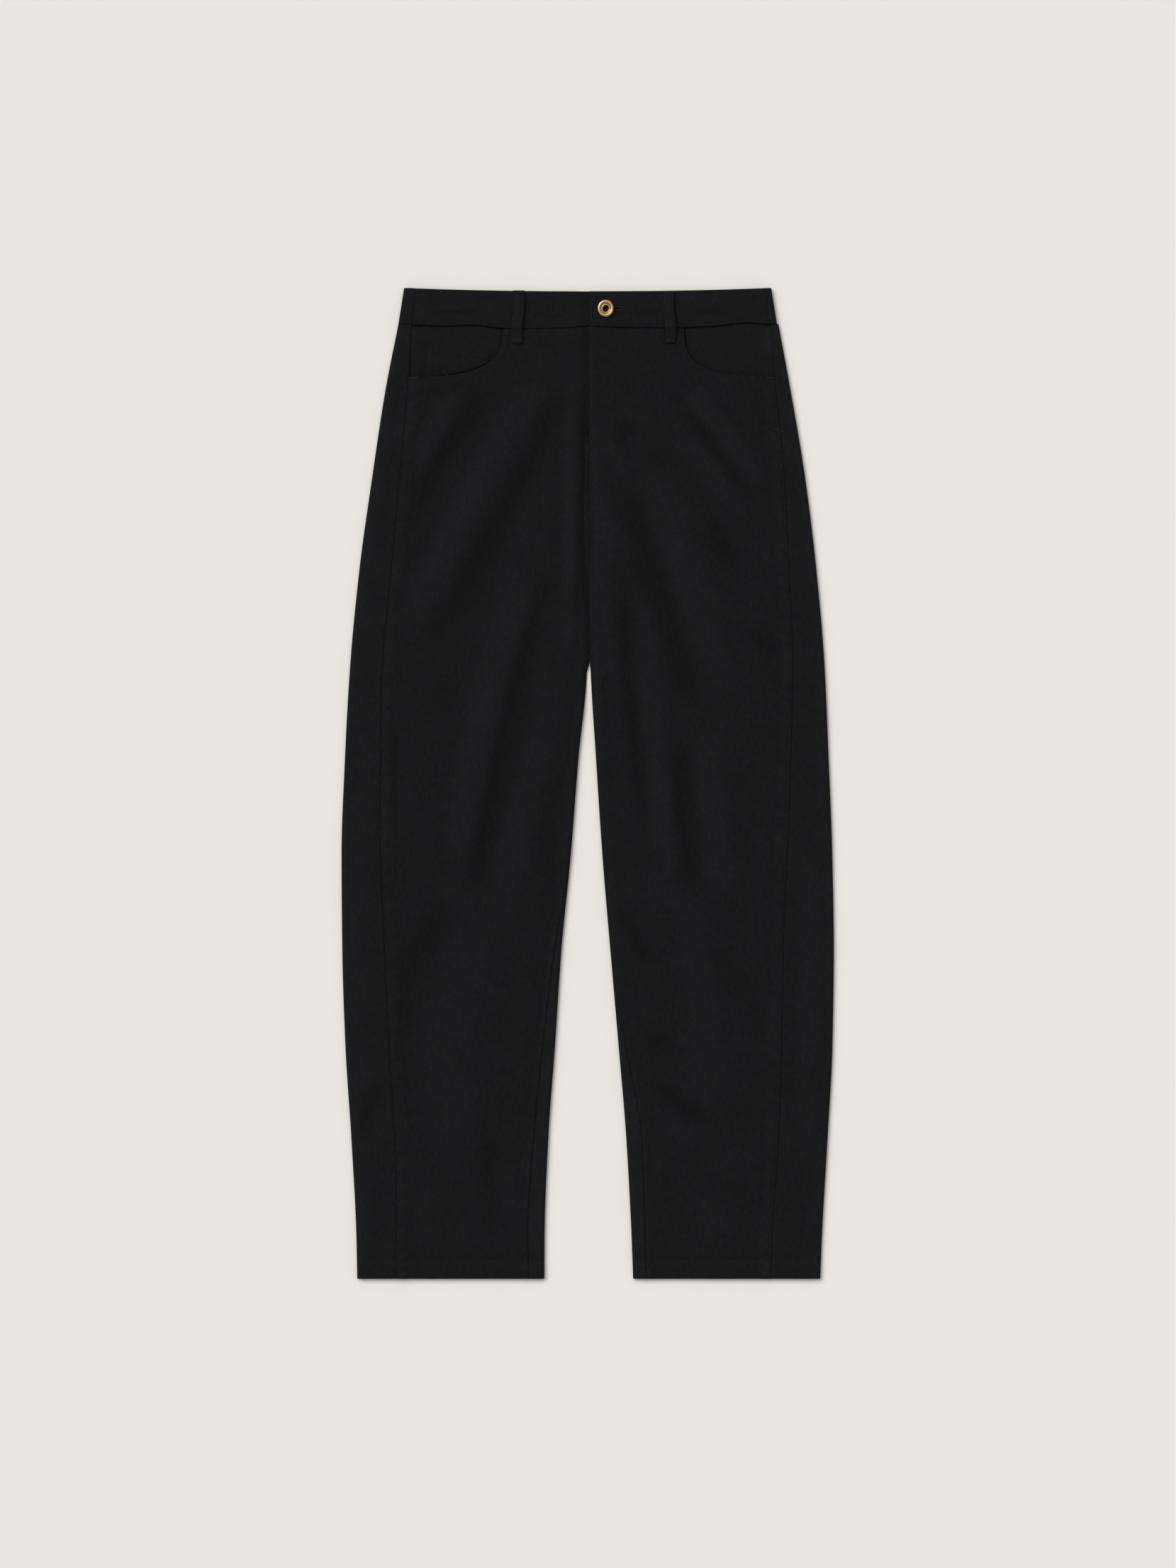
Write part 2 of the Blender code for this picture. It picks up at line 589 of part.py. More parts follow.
def cloth_piece(name, outer, inner, finish):
    """A closed wall between two grids of points, with a rim along its four edges."""
    rows, columns = outer.shape[:2]
    count = rows * columns
    points = np.concatenate([outer.reshape(-1, 3), inner.reshape(-1, 3)])

    def index(row, column, layer=0):
        return layer * count + row * columns + column

    faces = []
    for row in range(rows - 1):
        for column in range(columns - 1):
            corners = ((row, column), (row, column + 1), (row + 1, column + 1), (row + 1, column))
            faces.append([index(*corner) for corner in corners])
            faces.append([index(*corner, 1) for corner in reversed(corners)])
    rim = [(0, column) for column in range(columns)]
    rim += [(row, columns - 1) for row in range(1, rows)]
    rim += [(rows - 1, column) for column in range(columns - 2, -1, -1)]
    rim += [(row, 0) for row in range(rows - 2, 0, -1)]
    for one, two in zip(rim, rim[1:] + rim[:1]):
        faces.append([index(*two), index(*one), index(*one, 1), index(*two, 1)])
    return add_object(name, points, faces, finish)


def turned_piece(name, profile, centre, finish, hollow):
    """A solid of revolution from (radius, height) points. A hollow one is a ring, another is capped."""
    angles = np.linspace(0, 2 * math.pi, TURN_STEPS, endpoint=False)
    points = [
        (centre[0] + radius * math.cos(angle), centre[1] + radius * math.sin(angle), height)
        for radius, height in profile
        for angle in angles
    ]
    faces = []
    last = len(profile) if hollow else len(profile) - 1
    for ring in range(last):
        above = (ring + 1) % len(profile)
        for step in range(TURN_STEPS):
            beside = (step + 1) % TURN_STEPS
            faces.append([
                ring * TURN_STEPS + step,
                ring * TURN_STEPS + beside,
                above * TURN_STEPS + beside,
                above * TURN_STEPS + step,
            ])
    if not hollow:
        faces.append(list(range(TURN_STEPS))[::-1])
        faces.append([(len(profile) - 1) * TURN_STEPS + step for step in range(TURN_STEPS)])
    return add_object(name, points, faces, finish)


def cut_buttonhole(band, finish):
    """A slot with round ends through the overlap, in which the post stands."""
    start, end = BUTTON_X, BUTTONHOLE_END - BUTTONHOLE_HALF_WIDTH
    outline = []
    for middle, first in ((end, -90), (start, 90)):
        for step in range(7):
            angle = math.radians(first + 30 * step)
            outline.append((
                middle + BUTTONHOLE_HALF_WIDTH * math.cos(angle),
                MIDDLE_DROP - BUTTON_DROP + BUTTONHOLE_HALF_WIDTH * math.sin(angle),
            ))
    count = len(outline)
    points = [(x, y, height) for height in (2.0, 9.0) for x, y in outline]
    faces = [list(range(count))[::-1], list(range(count, 2 * count))]
    for step in range(count):
        beside = (step + 1) % count
        faces.append([step, beside, count + beside, count + step])
    cutter = add_object("buttonhole_cutter", points, faces, finish)
    cutter.hide_render = True
    cutter.display_type = "WIRE"
    slot = band.modifiers.new("buttonhole", "BOOLEAN")
    slot.operation = "DIFFERENCE"
    slot.object = cutter


def button(metal, post_metal):
    """The open ring of the button and the post in its middle, which comes up through the buttonhole."""
    centre = (BUTTON_X, MIDDLE_DROP - BUTTON_DROP)
    base = BAND_TOP + BAND_LAP_RISE + SEAM_GAP
    top = base + BUTTON_HEIGHT
    crest = 0.5 * (BUTTON_RADIUS + BUTTON_HOLE_RADIUS)
    ring = [
        (BUTTON_HOLE_RADIUS, base + 0.6),
        (BUTTON_HOLE_RADIUS + 0.6, base),
        (BUTTON_RADIUS - 0.7, base),
        (BUTTON_RADIUS, base + 0.8),
        (BUTTON_RADIUS - 0.3, base + 1.9),
        (BUTTON_RADIUS - 1.4, top - 0.5),
        (crest, top),
        (BUTTON_HOLE_RADIUS + 0.9, top - 0.5),
        (BUTTON_HOLE_RADIUS, base + 1.8),
    ]
    turned_piece("button_ring", ring, centre, metal, hollow=True)
    foot = BAND_TOP - LAP_STEP + SEAM_GAP
    post = [
        (POST_RADIUS, foot),
        (POST_RADIUS, base + 0.1),
        (POST_HEAD_RADIUS, base + 0.5),
        (POST_HEAD_RADIUS, base + 1.4),
        (POST_HEAD_RADIUS * 0.55, base + 2.0),
    ]
    turned_piece("button_post", post, centre, post_metal, hollow=False)


def build():
    cloth = material("black_twill", CLOTH_COLOUR, 0.85, 0.0)
    legs = [
        Leg("right", -1, RIGHT_LEG, POCKETS[0]),
        Leg("left", 1, LEFT_LEG, POCKETS[1]),
    ]
    for leg in legs:
        cloth_piece(f"front_leg_{leg.name}", *front_leg(leg), cloth)
        cloth_piece(f"back_leg_{leg.name}", *back_leg(leg), cloth)
        cloth_piece(f"pocket_facing_{leg.name}", *pocket_facing(leg), cloth)
        band = cloth_piece(f"waistband_front_{leg.name}", *waistband_front(leg), cloth)
    cut_buttonhole(band, cloth)
    cloth_piece("coin_pocket", *coin_pocket(legs[0]), cloth)
    cloth_piece("waistband_back", *waistband_back(), cloth)
    for row in LOOPS:
        places = dict(zip(LOOP_COLUMNS, row))
        cloth_piece(places.pop("name"), *belt_loop(**places), cloth)
    button(
        material("antique_brass", BRASS_COLOUR, 0.35, 1.0),
        material("dark_metal", POST_COLOUR, 0.5, 1.0),
    )


for leftover in list(bpy.data.objects):
    bpy.data.objects.remove(leftover)
build()
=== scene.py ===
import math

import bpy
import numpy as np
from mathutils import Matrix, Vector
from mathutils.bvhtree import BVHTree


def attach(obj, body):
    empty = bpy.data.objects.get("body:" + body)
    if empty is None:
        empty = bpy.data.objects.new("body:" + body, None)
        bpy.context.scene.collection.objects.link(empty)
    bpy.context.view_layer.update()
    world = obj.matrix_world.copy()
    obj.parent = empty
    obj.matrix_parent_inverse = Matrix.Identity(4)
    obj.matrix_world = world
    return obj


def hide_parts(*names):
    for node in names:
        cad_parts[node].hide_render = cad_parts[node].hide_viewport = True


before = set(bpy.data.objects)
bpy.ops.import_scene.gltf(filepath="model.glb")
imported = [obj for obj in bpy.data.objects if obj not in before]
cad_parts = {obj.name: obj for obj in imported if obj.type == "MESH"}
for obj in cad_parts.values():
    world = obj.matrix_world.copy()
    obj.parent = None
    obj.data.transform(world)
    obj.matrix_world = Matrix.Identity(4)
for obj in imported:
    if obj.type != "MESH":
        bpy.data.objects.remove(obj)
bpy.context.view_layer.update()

# Barrel leg trousers in black twill, laid flat with the front up: the cloth with its folds and sewing, and
# the button. Sizes are in millimetres and become metres where a mesh is made. A place on the cloth is given
# by x, the distance from the middle line with the wearer's left at +x, and by drop, the distance down from
# the highest point of the waist. Each leg is a flattened tube: its cloth is followed by a walk round the
# fold at either edge, more than 0 over the front and less than 0 under the back.

MM = 0.001

# The solids' sizes, but for the seams' gap
LENGTH = 1048.0
CLOTH = 1.1
HEM_CLOTH = 1.45
HEM_DEPTH = 19.0
SEAM_GAP = 0.12            # sewn edges lie closer together here than in the solids
LAYER_GAP = 0.4
LEG_TOP = 4.8
LEG_MIDDLE = 2.4
LEG_LEAST = 2.9
TOP_REACH = 3.8
BOTTOM_REACH = 3.0
ARC_SHARE = 1.25
FOLD_FADE = 16.0
EDGE_ZONE = 10.0
CROTCH = 254.0
CROTCH_RISE = 110.0
BAND_CLOTH = 2.0
BAND_TOP = 5.8
BAND_MIDDLE = 2.9
BAND_REACH = 3.6
BAND_END_TOP = 194.2
BAND_END_SPREAD = 6.0
BAND_SPREAD_DEPTH = 38.0
BAND_START = 1.0
BAND_DEPTH = 37.0
WAIST_DIP = 3.4
WAIST_START = 0.8
WAIST_LEVEL = 190.0
MIDDLE_DROP = (LENGTH + WAIST_START) / 2
BACK_SEAM = 38.6
FLY_END = 159.0
FLY_EDGE = 1.9
UNDERLAP = 12.0
LAP_STEP = 1.5
LAP_RISE = 0.5
BAND_UNDERLAP = 42.0
UNDERLAP_SHORT = 0.8
BAND_LAP_RISE = 0.8
POCKET_BOTTOM = 94.5
FACING_STEP = CLOTH + LAYER_GAP
FACING_MARGIN = 10.0
COIN_CLOTH = 1.0
COIN_CLEARANCE = 0.5
COIN_LEFT_TOP = (168.4, 64.2)
COIN_RIGHT_TOP = (104.5, 70.4)
COIN_LEAN = 4.0
BUTTON_X = 19.0
BUTTON_DROP = 22.6
BUTTON_RADIUS = 8.7
BUTTON_HOLE_RADIUS = 3.3
BUTTON_HEIGHT = 3.3
POST_RADIUS = 1.6
POST_HEAD_RADIUS = 2.9
RING_SIDES = 72
POST_SIDES = 40
BUTTONHOLE_END = 36.0
SLIT_HALF_WIDTH = 0.7
EYE_RADIUS = 1.95
LOOP_WIDTH = 12.0
LOOP_CLOTH = 1.7
LOOP_ARCH = 1.3
LOOP_REST = 47.0
LOOP_LENGTH = 55.0
LOOP_ROW = 4.2             # distance of its two lines from its middle
LOOP_LOWER_ROW = 52.5      # distance of the row at its lower end from its top
LOOP_TACK_REACH = 5.2

LEG_COLUMNS = ("drop", "outer", "inner", "outseam", "inseam")
RIGHT_LEG = (
    (38.0, 200.0, 0.3, 14.5, 0.0),
    (110.0, 214.1, 0.3, 24.0, 0.0),
    (200.0, 227.8, 0.3, 29.4, 0.0),
    (300.0, 241.6, 0.5, 34.3, 0.0),
    (400.0, 251.2, 0.8, 34.9, 0.0),
    (500.0, 256.8, 9.9, 38.5, 0.0),
    (600.0, 260.3, 17.8, 41.7, 0.0),
    (700.0, 259.5, 27.7, 45.0, 6.7),
    (800.0, 256.3, 34.4, 46.8, 12.3),
    (900.0, 249.9, 41.6, 46.7, 15.0),
    (1000.0, 244.7, 45.5, 42.6, 17.3),
    (1048.0, 243.7, 45.8, 41.1, 15.7),
)
LEFT_LEG = (
    (38.0, 201.6, 0.3, 8.0, 0.0),
    (110.0, 214.8, 0.3, 15.5, 0.0),
    (200.0, 229.8, 0.3, 21.7, 0.0),
    (300.0, 242.0, 0.9, 28.8, 0.0),
    (400.0, 250.5, 3.0, 33.5, 0.0),
    (500.0, 254.9, 8.9, 40.0, 0.0),
    (600.0, 258.7, 15.5, 47.3, 0.0),
    (700.0, 260.3, 23.9, 53.3, 0.0),
    (800.0, 258.9, 32.5, 53.8, 8.0),
    (900.0, 253.7, 40.8, 51.7, 16.7),
    (1000.0, 247.9, 46.2, 52.5, 15.0),
    (1048.0, 246.0, 48.0, 52.0, 14.3),
)

# The line on which the legs touch until they part, and how wide their inner edges are rounded along it
MEETING_COLUMNS = ("drop", "x")
MEETING = (
    (150.0, -0.2),
    (254.0, -0.4),
    (310.0, 0.2),
    (355.0, 1.5),
    (400.0, 2.4),
)
PARTING = 393.0
PARTING_FADE = 16.0
TOUCH = 0.05
CREASE_DEPTH = 1.2         # how far the edges sink along this line
CREASE_START = 140.0
CREASE_FADE = 40.0
CREASE_FALLS = {"right": (2.3, 6.5), "left": (1.7, 3.2)}    # depth and width of the face's fall into it
INNER_REACH_COLUMNS = ("drop", "reach")
INNER_REACH = (
    (144.0, 3.0),
    (200.0, 4.6),
    (250.0, 7.2),
    (290.0, 4.8),
    (340.0, 5.2),
    (380.0, 7.0),
    (430.0, 5.0),
    (520.0, TOP_REACH),
)
WAIST_SEAM_COLUMNS = ("x", "drop")
WAIST_SEAM = (
    (-200.0, 38.7),
    (-150.0, 40.5),
    (-128.0, 39.6),
    (-80.0, 43.4),
    (-50.0, 43.5),
    (-10.0, 41.6),
    (1.0, 40.6),
    (14.0, 41.4),
    (76.0, 42.5),
    (130.0, 41.0),
    (168.0, 37.1),
    (188.0, 38.6),
    (201.0, 38.8),
)
POCKET_COLUMNS = ("leg", "mouth", "roundness")
POCKETS = (
    ("right", 89.3, 2.85),
    ("left", 102.0, 3.1),
)

# The folds of the front. Troughs lie below the face and ridges above it. Each runs through three points,
# and its sharpness is the power of its cross-section's fall, 2 for a soft one and less for a crease.
FOLD_COLUMNS = ("name", "start", "middle", "end", "height", "width", "sharpness")
FOLDS = (
    ("right_hip_trough", (-92, 104), (-146, 166), (-188, 268), -1.9, 12, 1.7),
    ("right_hip_ridge", (-128, 112), (-152, 142), (-178, 200), 1.7, 13, 2.0),
    ("right_thigh_ridge", (-36, 78), (-108, 198), (-198, 378), 2.9, 16, 2.0),
    ("right_thigh_trough", (-28, 106), (-84, 240), (-166, 388), -1.9, 13, 1.7),
    ("right_thigh_crease", (-60, 186), (-98, 262), (-140, 330), -0.7, 5, 1.4),
    ("right_thigh_tail", (-160, 380), (-156, 410), (-140, 440), -0.7, 12, 2.0),
    ("crotch_ridge_right", (-15, 120), (-18, 240), (-19, 395), 1.6, 9, 2.0),
    ("crotch_fall_right", (-3, 130), (-4, 280), (-6, 410), -2.0, 7, 2.0),
    ("crotch_fall_left", (3, 150), (4, 280), (7, 420), -1.4, 5, 2.0),
    ("crotch_trough_right", (-26, 150), (-27, 230), (-30, 330), -0.6, 9, 2.0),
    ("right_knee_ridge", (-62, 300), (-100, 430), (-136, 610), 2.8, 20, 2.0),
    ("right_knee_trough", (-36, 292), (-78, 440), (-120, 644), -2.2, 12, 1.6),
    ("right_knee_crease", (-88, 490), (-104, 576), (-124, 652), -1.9, 6, 1.4),
    ("right_hip_crease", (-100, 120), (-142, 174), (-170, 230), -0.7, 5, 1.4),
    ("right_knee_inner_ridge", (-30, 430), (-62, 540), (-86, 672), 2.2, 17, 2.0),
    ("right_shin_trough", (-140, 652), (-188, 735), (-198, 884), -1.9, 20, 1.9),
    ("right_shin_ridge", (-108, 660), (-134, 780), (-138, 950), 1.9, 27, 2.0),
    ("right_outseam_crease", (-202, 464), (-203, 524), (-202, 584), -0.8, 5, 1.5),
    ("right_calf_trough", (-217, 838), (-230, 872), (-243, 906), -1.3, 9, 1.6),
    ("right_side_ridge", (-222, 430), (-238, 600), (-236, 780), 1.1, 14, 2.0),
    ("right_side_dip", (-226, 640), (-238, 690), (-246, 742), -0.7, 9, 2.0),
    ("right_inner_fall", (-24, 500), (-44, 690), (-64, 930), -1.1, 13, 2.0),
    ("right_shin_dip", (-100, 900), (-102, 958), (-98, 1016), -0.8, 14, 2.0),
    ("right_hem_ridge", (-168, 930), (-172, 970), (-178, 1012), 0.7, 14, 2.0),
    ("fly_trough", (47, 140), (42, 156), (32, 172), -1.5, 9, 1.7),
    ("left_thigh_trough", (31, 194), (66, 292), (114, 450), -2.1, 16, 1.8),
    ("left_thigh_ridge", (62, 186), (104, 300), (142, 436), 2.5, 18, 2.0),
    ("left_knee_trough", (97, 480), (103, 560), (119, 646), -1.9, 9, 1.5),
    ("left_knee_ridge", (124, 466), (134, 560), (146, 656), 2.2, 16, 2.0),
    ("left_inner_trough", (41, 286), (47, 430), (66, 590), -1.5, 10, 1.8),
    ("left_inner_ridge", (64, 396), (75, 500), (88, 628), 1.9, 12, 2.0),
    ("crotch_ridge_left", (17, 206), (20, 300), (24, 420), 1.3, 9, 2.0),
    ("left_hip_trough", (86, 106), (128, 160), (176, 226), -1.7, 7, 1.5),
    ("left_hip_ridge", (106, 112), (146, 158), (188, 212), 1.7, 11, 2.0),
    ("left_hip_lower_ridge", (100, 158), (132, 196), (170, 246), 1.1, 13, 2.0),
    ("left_side_trough", (126, 238), (141, 266), (156, 298), -1.3, 9, 1.7),
    ("left_outer_trough", (170, 364), (188, 378), (206, 391), -1.3, 8, 1.7),
    ("left_mid_dip", (112, 372), (124, 400), (134, 430), -0.8, 13, 2.0),
    ("left_inseam_trough", (34, 654), (52, 688), (70, 722), -1.4, 8, 1.6),
    ("left_shin_spot", (130, 694), (136, 706), (144, 722), -0.8, 9, 2.0),
    ("left_shin_ridge", (100, 640), (126, 760), (130, 900), 1.7, 24, 2.0),
    ("left_shin_trough", (60, 786), (76, 796), (94, 808), -0.9, 9, 1.7),
    ("left_side_spot", (170, 762), (178, 776), (184, 792), -0.7, 10, 2.0),
    ("left_calf_trough", (64, 838), (100, 866), (138, 888), -1.5, 9, 1.7),
    ("left_calf_ridge", (70, 872), (100, 896), (132, 914), 0.9, 10, 2.0),
    ("left_hem_dip", (80, 934), (86, 952), (88, 974), -0.9, 12, 1.8),
    ("left_hem_trough", (112, 944), (142, 952), (174, 944), -0.7, 12, 2.0),
    ("left_side_ridge", (228, 540), (236, 740), (230, 940), 1.5, 15, 2.0),
)
CALM_DROP = 96.0           # above this the cloth lies smooth under the waistband
CALM_FADE = 22.0
FOLD_STEPS = 10
FOLD_REACH = 3.2           # how many widths from its path a fold is felt
FOLD_CELL = 1.5            # spacing of the raster that holds the folds
RASTER_SIDE = 270.0        # the raster's reach to each side, its top and its end below the hems
RASTER_TOP = 30.0
RASTER_END = LENGTH + 6
ROLLING = 0.28             # height of the slow unevenness over all the cloth

# The underside rests flat, and its soft creases rise from there.
UNDER_FOLDS = (
    ("under_right_seat", (-40, 120), (-96, 190), (-160, 240), 0.55, 14, 2.0),
    ("under_right_thigh", (-30, 300), (-92, 380), (-180, 430), 0.6, 16, 1.8),
    ("under_right_knee", (-60, 560), (-126, 600), (-206, 590), 0.55, 12, 1.7),
    ("under_right_calf", (-90, 800), (-150, 846), (-214, 860), 0.45, 15, 2.0),
    ("under_left_seat", (44, 130), (104, 176), (176, 220), 0.5, 13, 2.0),
    ("under_left_thigh", (26, 330), (98, 366), (190, 372), 0.6, 14, 1.8),
    ("under_left_knee", (70, 610), (140, 586), (220, 618), 0.5, 13, 1.7),
    ("under_left_calf", (82, 850), (146, 880), (206, 930), 0.5, 16, 2.0),
)

# Soft creases of the waistband's front
BAND_FOLDS = (
    ("right_line", (-168, 22.0), (-152, 22.6), (-130, 23.4), 0.7, 1.6, 1.6),
    ("right_dip", (-164, 26.0), (-140, 27.5), (-112, 27.0), -0.85, 3.0, 1.8),
    ("right_upper_dip", (-120, 11.0), (-96, 11.6), (-84, 11.0), -0.65, 3.0, 1.8),
    ("right_lower_dip", (-60, 32.0), (-36, 32.6), (-12, 31.6), -0.7, 3.0, 1.8),
    ("left_dip", (40, 27.0), (58, 28.4), (78, 27.0), -0.8, 3.0, 1.7),
    ("left_upper_ridge", (98, 12.0), (124, 14.0), (150, 13.0), 0.55, 5.0, 2.0),
    ("left_lower_dip", (100, 30.0), (128, 28.0), (160, 27.0), -0.65, 3.5, 1.8),
)

# Relief of the sewing
ROW_DEPTH = 0.42           # a row of stitches draws the cloth down
ROW_WIDTH = 1.1
EDGE_ROLL = 0.6            # a seamed or turned edge rounds down
EDGE_ROLL_WIDTH = 0.9
SEAM_RISE = 0.6            # the layers folded inside a felled seam lift the face
OUTSEAM_ROWS = (2.3, 10.4)    # distances of the stitch rows from the side seam
POCKET_STITCH_ROWS = (2.2, 7.0)
POCKET_LIFT = 1.3          # the pocket's edge stands off its facing, which sinks away from it
POCKET_SINK = 0.9
POCKET_SINK_WIDTH = 8.0
FACING_LEAST = 2.35
COIN_SHADE = 0.9           # the facing also sinks beside the coin pocket's free side
COIN_HEIGHT = 26.0
COIN_TOP_ROWS = (2.0, 7.0)
COIN_SIDE_ROW = 2.0
PUCKER = 0.4
WAIST_PUCKER = 0.3
WAIST_PUCKER_REACH = 15.0
WAIST_ROW = 2.3            # distance of the waistband's stitch row from its lower edge

# Places of sewing that stands alone, as (x, drop)
FLY_SINK = 0.8
FLY_SINK_WIDTH = 3.2
FLY_ROW_X = (34.5, 40.0)
FLY_ROW_TOP = 43.0
FLY_ROW_TURN = 140.0
FLY_ROW_BOTTOM = 167.6
FLY_ROW_END = 8.5
CROTCH_ROWS = (2.8, 9.0)
CROTCH_ROWS_TOP = 176.0
CROTCH_ROWS_BOTTOM = 246.0

# The threads
STITCH = 2.5
STITCH_GAP = 0.9
THREAD_RADIUS = 0.32
THREAD_SIDES = 5
TACK_STEP = 0.5

# The belt loops. lean is how far the middle stands to one side of a straight line, and bulge how far up.
LOOP_COLUMNS = ("name", "top_x", "bottom_x", "top_drop", "bottom_drop", "lean", "bulge")
LOOPS = (
    ("belt_loop_right", -72.8, -74.2, 3.6, 59.4, 1.1, 0.9),
    ("belt_loop_left", 85.9, 87.3, 4.4, 59.0, -0.9, 1.1),
)

# Rows and columns of the grids of the legs and the waistband
BODY_TOP = 103.0
BODY_ROWS = 270
HEM_ROWS = 18
POCKET_ROWS = 44
POCKET_ROWS_END = 100.0
BACK_ROWS = 20             # of the back, beside the pocket
BACK_ROWS_END = 99.0
MAIN_COLUMNS = 64
INNER_COLUMNS = 11
FLAP_COLUMNS = 22
ROUND_COLUMNS = 10
UNDER_COLUMNS = 30
INSEAM_COLUMNS = 16
BAND_TOP_ROWS = [0, 0.01, 0.025, 0.045, 0.08]
BAND_ROWS = np.concatenate([BAND_TOP_ROWS, np.linspace(0.12, 0.9, 17), [0.925, 0.945, 0.97, 1.0]])
BAND_SEAMS = {"right": (181.3, 185.4), "left": (189.2, 192.6)}    # x of the side seams, top and bottom


def curve(rows, columns, across, read):
    """A smooth function through one column of a table, which never swings past its rows."""
    knots = np.array([row[columns.index(across)] for row in rows])
    values = np.array([row[columns.index(read)] for row in rows])
    steps = np.diff(knots)
    secants = np.diff(values) / steps
    slopes = np.zeros(len(knots))
    before, after = secants[:-1], secants[1:]
    same_way = before * after > 0
    slopes[1:-1][same_way] = 2 * before[same_way] * after[same_way] / (before + after)[same_way]
    slopes[0], slopes[-1] = secants[0], secants[-1]

    def at(place):
        place = np.clip(np.asarray(place, float), knots[0], knots[-1])
        row = np.clip(np.searchsorted(knots, place) - 1, 0, len(steps) - 1)
        step = steps[row]
        part = (place - knots[row]) / step
        rise = part * part * (3 - 2 * part)
        leave = part * (1 - part) ** 2 * step * slopes[row]
        arrive = part * part * (part - 1) * step * slopes[row + 1]
        return values[row] * (1 - rise) + values[row + 1] * rise + leave + arrive

    return at


def smooth(value):
    """0 below 0, 1 above 1 and an even S between."""
    value = np.clip(value, 0, 1)
    return value * value * (3 - 2 * value)


def bell(distance, width):
    """A soft hump of height 1 around 0."""
    return np.exp(-((distance / width) ** 2))


def ripple(along, phase=0.0):
    """Uneven waves along a seam, from about -1 to 1, without a repeat that shows."""
    turn = 2 * math.pi * along
    waves = np.sin(turn / 9.7 + phase) + 0.7 * np.sin(turn / 14.3 + 2.1 * phase)
    return (waves + 0.8 * np.sin(turn / 24.9 - phase)) / 2.1


class Leg:
    """One half of the garment: its side, -1 or 1, and its edges and seams as functions of drop."""

    def __init__(self, name, side, rows, pocket):
        self.name = name
        self.side = side
        self.outer = curve(rows, LEG_COLUMNS, "drop", "outer")
        self.parted_inner = curve(rows, LEG_COLUMNS, "drop", "inner")
        self.outseam = curve(rows, LEG_COLUMNS, "drop", "outseam")
        self.inseam = curve(rows, LEG_COLUMNS, "drop", "inseam")
        self.mouth = pocket[POCKET_COLUMNS.index("mouth")]
        self.roundness = pocket[POCKET_COLUMNS.index("roundness")]

    def middle_edge(self, drop):
        """Distance of the front's middle edge from the middle line, towards this leg."""
        above = 1 - smooth((np.asarray(drop, float) - FLY_END + 8) / 14)
        lap = -UNDERLAP if self.side < 0 else FLY_EDGE
        return lap * above

    def inner(self, drop):
        """Distance of the leg's inner edge from the middle line. The legs touch until they part."""
        parted = smooth((np.asarray(drop, float) - PARTING) / PARTING_FADE)
        touching = self.side * meeting_line(drop) - TOUCH
        return touching + parted * (self.parted_inner(drop) - touching)

    def outseam_x(self, drop):
        """Distance of the side seam from the middle line."""
        return self.outer(drop) - self.outseam(drop)


meeting_line = curve(MEETING, MEETING_COLUMNS, "drop", "x")
inner_reach = curve(INNER_REACH, INNER_REACH_COLUMNS, "drop", "reach")
waist_seam = curve(WAIST_SEAM, WAIST_SEAM_COLUMNS, "x", "drop")


def waist_edge(x):
    """Drop of the waistband's top edge."""
    share = np.clip(np.abs(x) / WAIST_LEVEL, 0, 1)
    return WAIST_START + WAIST_DIP * (1 - share**2.2)


def nearest_on(path, x, drop, reach=np.inf):
    """Distance of each place from a path of (x, drop) points, and its share of the path's length."""
    path = np.asarray(path, float)
    x, drop = np.broadcast_arrays(np.asarray(x, float), np.asarray(drop, float))
    low, high = path.min(axis=0) - reach, path.max(axis=0) + reach
    near = (x >= low[0]) & (x <= high[0]) & (drop >= low[1]) & (drop <= high[1])
    px, pd = x[near], drop[near]
    nearest = np.full(px.shape, np.inf)
    along = np.zeros(px.shape)
    lengths = np.linalg.norm(np.diff(path, axis=0), axis=1)
    starts = np.concatenate([[0], np.cumsum(lengths)])
    for step, length in enumerate(lengths):
        first, run = path[step], path[step + 1] - path[step]
        share = np.clip(((px - first[0]) * run[0] + (pd - first[1]) * run[1]) / (length * length), 0, 1)
        away = np.hypot(px - first[0] - share * run[0], pd - first[1] - share * run[1])
        closer = away < nearest
        nearest = np.where(closer, away, nearest)
        along = np.where(closer, (starts[step] + share * length) / starts[-1], along)
    distance, place = np.full(x.shape, np.inf), np.zeros(x.shape)
    distance[near], place[near] = nearest, along
    return distance, place


def bent_path(start, middle, end, steps=FOLD_STEPS):
    """Points of a soft bend through three places."""
    start, end = np.array(start, float), np.array(end, float)
    control = 2 * np.array(middle, float) - 0.5 * (start + end)
    part = np.linspace(0, 1, steps + 1)[:, None]
    return (1 - part) ** 2 * start + 2 * part * (1 - part) * control + part**2 * end


def folds_at(table, x, drop):
    """How far all the folds of a table lift the cloth at each place, or sink it."""
    total = np.zeros(np.broadcast(x, drop).shape)
    for row in table:
        fold = dict(zip(FOLD_COLUMNS, row))
        path = bent_path(fold["start"], fold["middle"], fold["end"])
        distance, along = nearest_on(path, x, drop, reach=FOLD_REACH * fold["width"])
        near = np.isfinite(distance)
        fullness = 1 - np.abs(2 * along[near] - 1) ** 3
        fall = np.exp(-((distance[near] / fold["width"]) ** fold["sharpness"]))
        total[near] += fold["height"] * fullness * fall
    return total


